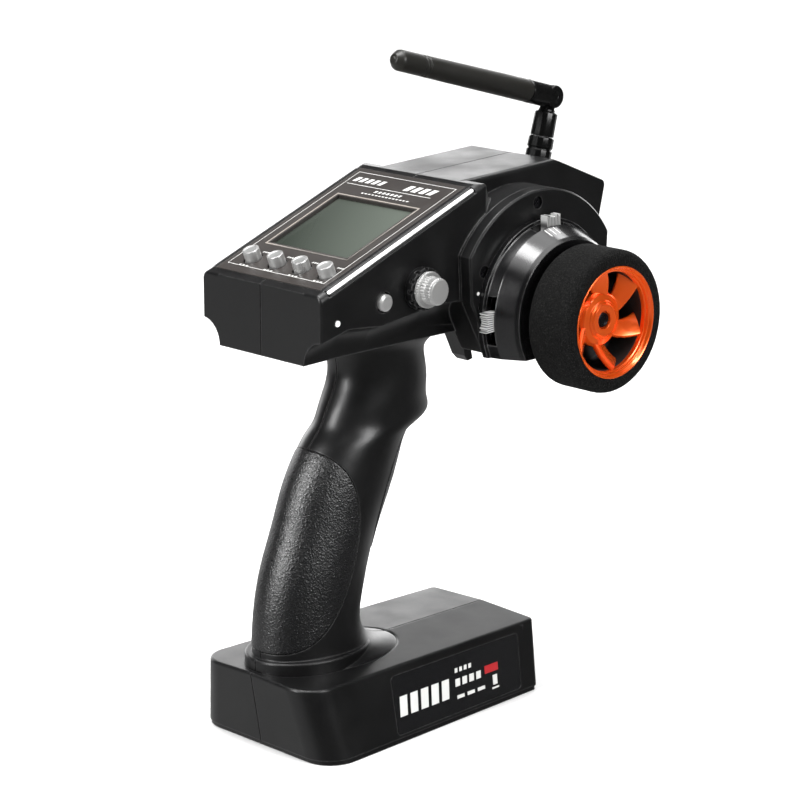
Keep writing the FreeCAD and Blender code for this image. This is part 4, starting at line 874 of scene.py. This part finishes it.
def make_panel_marks():
    """The label's thin border and header line, with plain stripes and key marks."""
    bm = bmesh.new()
    border(bm, PANEL, (-28.2, 28.2), (8.4, 86.2), 0.3, INK_LOW, INK_HIGH)
    panel_mark(bm, [(-26.5, 76.6), (22.0, 76.6), (22.0, 76.95), (-26.5, 76.95)])
    for count, x, pitch, y, wide, tall in (
            (5, -25.6, 3.6, 79.0, 2.2, 3.4), (4, 4.2, 4.4, 78.6, 2.8, 4.2),
            (7, -7.6, 2.3, 73.4, 1.3, 1.5), (14, -13.0, 2.0, 71.3, 1.2, 0.7)):
        for k in range(count):
            panel_mark(bm, slanted_bar(x + pitch * k, y, wide, tall))
    for number in range(1, 5):
        spot = PANEL_INVERSE @ middle(f"display_key_{number}")
        for k in range(3):
            panel_mark(bm, slanted_bar(spot.x - 2.6 + 1.9 * k, spot.y - 6.0, 1.1, 0.8))
            panel_mark(bm, slanted_bar(spot.x + 0.2 + 1.25 * k, spot.y + 4.9, 0.85, 0.9))
    finish_piece("panel_marks", bm, "transmitter", "panel_label", look=MARK_WHITE)
    bm = bmesh.new()
    border(bm, PANEL, (-24.0, 24.0), (25.8, 68.8), 0.75, INK_LOW, INK_HIGH)
    finish_piece("screen_border", bm, "transmitter", "panel_label", look=MARK_TAN)


make_panel_marks()


def draped_prism(bm, tree, outline, cast):
    """A thin mark laid on a curved surface.

    `cast` turns each point of the outline into a start and a direction for finding the surface.
    """
    top, floor = [], []
    for a, b in outline:
        start, direction = cast(a, b)
        hit = tree.ray_cast(start, direction)[0]
        if hit is None:
            return
        top.append(hit - direction * INK_PROUD * MM)
        floor.append(hit + direction * INK_SUNK * MM)
    slab(bm, floor, top)


def make_base_marks():
    """Plain marks on the base's glossy label: stripes, dashes and one red block."""
    tree = surface_tree("base_label")
    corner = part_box("base_label")[0] / MM

    def inward(y, z):
        return Vector((90, corner.y + y, corner.z + z)) * MM, Vector((-1, 0, 0))

    white = bmesh.new()
    for k in range(5):
        draped_prism(white, tree, slanted_bar(2.6 + 6.3 * k, 6.8, 4.4, 8.2, 0.12), inward)
    for k in range(4):
        draped_prism(white, tree, slanted_bar(37.0 + 2.8 * k, 16.4, 1.7, 1.9, 0.1), inward)
        draped_prism(white, tree, slanted_bar(36.6 + 4.3 * k, 10.6, 2.9, 3.2, 0.1), inward)
    for k in range(3):
        draped_prism(white, tree, slanted_bar(37.0 + 6.4 * k, 5.4, 4.6, 1.5, 0.0), inward)
    draped_prism(white, tree, slanted_bar(58.8, 3.9, 4.4, 0.8, 0.0), inward)
    draped_prism(white, tree, slanted_bar(59.6, 5.6, 2.8, 4.2, 0.0), inward)
    finish_piece("base_marks", white, "transmitter", "base_label", look=MARK_WHITE)
    red = bmesh.new()
    draped_prism(red, tree, slanted_bar(55.0, 11.4, 8.4, 3.4, 0.0), inward)
    finish_piece("base_mark_red", red, "transmitter", "base_label", look=MARK_RED)


make_base_marks()


def make_housing_marks():
    """Three index ticks on the shield and a dot on the housing plate."""
    tree = surface_tree("steering_shield")

    def to_axle(x, bearing):
        outward = Vector((0, math.cos(math.radians(bearing)), math.sin(math.radians(bearing))))
        return (Vector((x, AXLE_Y, AXLE_Z)) + 60 * outward) * MM, -outward

    bm = bmesh.new()
    for k in range(3):
        at = 101 - 4.2 * k
        tick = [(49.6, at), (49.6, at + 0.9), (53.6, at + 0.9), (53.6, at)]
        draped_prism(bm, tree, tick, to_axle)
    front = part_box("steering_housing_plate")[1].x / MM
    turned(bm, axis_frame(AXLE_Y - 36.6, AXLE_Z + 10.9), [
        (front - 0.1, 0, 0), (front - 0.1, 0.75, 0), (front + 0.06, 0.75, 0), (front + 0.06, 0, 0)],
        steps=24, arcs=1)
    finish_piece("housing_marks", bm, "transmitter", "shield_metallic", look=MARK_WHITE)


make_housing_marks()

# ---- camera, lights and floor -------------------------------------------------------------------

# Angles are in degrees, the lens and the sensor in millimetres, and places in metres.
CAMERA_PLACE = Vector((0.8337, -0.7955, 0.4330))
CAMERA_AZIMUTH, CAMERA_ELEVATION = 45.71, 14.55
LENS, SENSOR = 130.97, 36.0
MIDDLE = Vector((0.0, 0.02, 0.14))
BACKDROP_BEARING = (-0.74, 0.67, 0.0)
FLOOR_HALF = 6.0


def outwards(azimuth, elevation):
    """A direction at a bearing in degrees, which is counted from -Y towards +X."""
    bearing, height = math.radians(azimuth), math.radians(elevation)
    return Vector((math.sin(bearing) * math.cos(height), -math.cos(bearing) * math.cos(height),
                   math.sin(height)))


def aim(made, place, direction):
    """Puts a camera or a lamp somewhere, looking along a direction."""
    made.location = place
    made.rotation_mode = "QUATERNION"
    made.rotation_quaternion = direction.to_track_quat("-Z", "Y")


def make_camera():
    """The camera, in front of the right side and a little above."""
    data = bpy.data.cameras.new("camera")
    data.lens, data.sensor_width = LENS, SENSOR
    data.clip_start, data.clip_end = 0.05, 20.0
    camera = new_object("camera", data)
    aim(camera, CAMERA_PLACE, -outwards(CAMERA_AZIMUTH, CAMERA_ELEVATION))
    bpy.context.scene.camera = camera


make_camera()


def area_light(name, azimuth, elevation, reach, size, power):
    """A softbox at a bearing and height round the middle of the object, facing it."""
    data = bpy.data.lights.new(name, "AREA")
    data.shape = "RECTANGLE"
    data.size, data.size_y = size
    data.energy = power
    direction = outwards(azimuth, elevation)
    aim(new_object(name, data), MIDDLE + reach * direction, -direction)


area_light("top_key", -20, 84, 1.35, (0.5, 0.4), 11)
area_light("rear_key", 196, 50, 1.3, (0.40, 0.30), 3)
area_light("left_soft", -3, 24, 1.25, (0.22, 0.75), 13)
area_light("right_soft", 98, 24, 1.3, (0.4, 0.5), 9)


def make_world():
    """A white cove: bright up to the horizon on the left, dark above it, with a soft ceiling."""
    world = bpy.data.worlds.new("studio")
    graph = NodeTree(world)
    background = graph.tree.nodes["Background"]
    background.inputs["Color"].default_value = (1, 1, 1, 1)
    ray = graph.add("TexCoord").outputs["Generated"]
    split = graph.add("SeparateXYZ", {0: ray})
    height, across = split.outputs["Z"], split.outputs["X"]

    def ramp(source, low, high, out_low, out_high):
        return graph.spread(source, low, high, out_low, out_high, ease="SMOOTHSTEP")

    band = graph.math("MULTIPLY", ramp(height, -0.12, 0.02, 0.0, 3.8),
                      ramp(height, 0.25, 0.34, 1.0, 0.0))
    leftwards = ramp(graph.dot(ray, BACKDROP_BEARING), 0.55, 0.92, 0.0, 1.0)
    backdrop = graph.math("MULTIPLY", leftwards, band)
    ground = graph.math("MULTIPLY", ramp(height, -0.18, -0.04, 0.5, 0.0),
                        ramp(across, -0.1, 0.5, 1.0, 0.12))
    ceiling = ramp(height, 0.76, 0.93, 0.03, 3.6)
    glow = graph.math("ADD", graph.math("ADD", backdrop, ground), ceiling)
    graph.tree.links.new(glow, background.inputs["Strength"])
    bpy.context.scene.world = world


make_world()


def make_floor():
    """The white floor, which glossy surfaces don't mirror."""
    mesh = bpy.data.meshes.new("floor")
    half = FLOOR_HALF
    mesh.from_pydata([(-half, -half, 0), (half, -half, 0), (half, half, 0), (-half, half, 0)], [],
                     [(0, 1, 2, 3)])
    floor = new_object("floor", mesh)
    look = Look("floor_look", 0.7, specular=0.1)
    look.feed("Base Color", look.blend(look.noise(3.0), (0.93, 0.93, 0.93), (0.95, 0.95, 0.95)))
    mesh.materials.append(look.material)
    floor.visible_glossy = False


make_floor()
bpy.context.scene.view_settings.view_transform = "Standard"
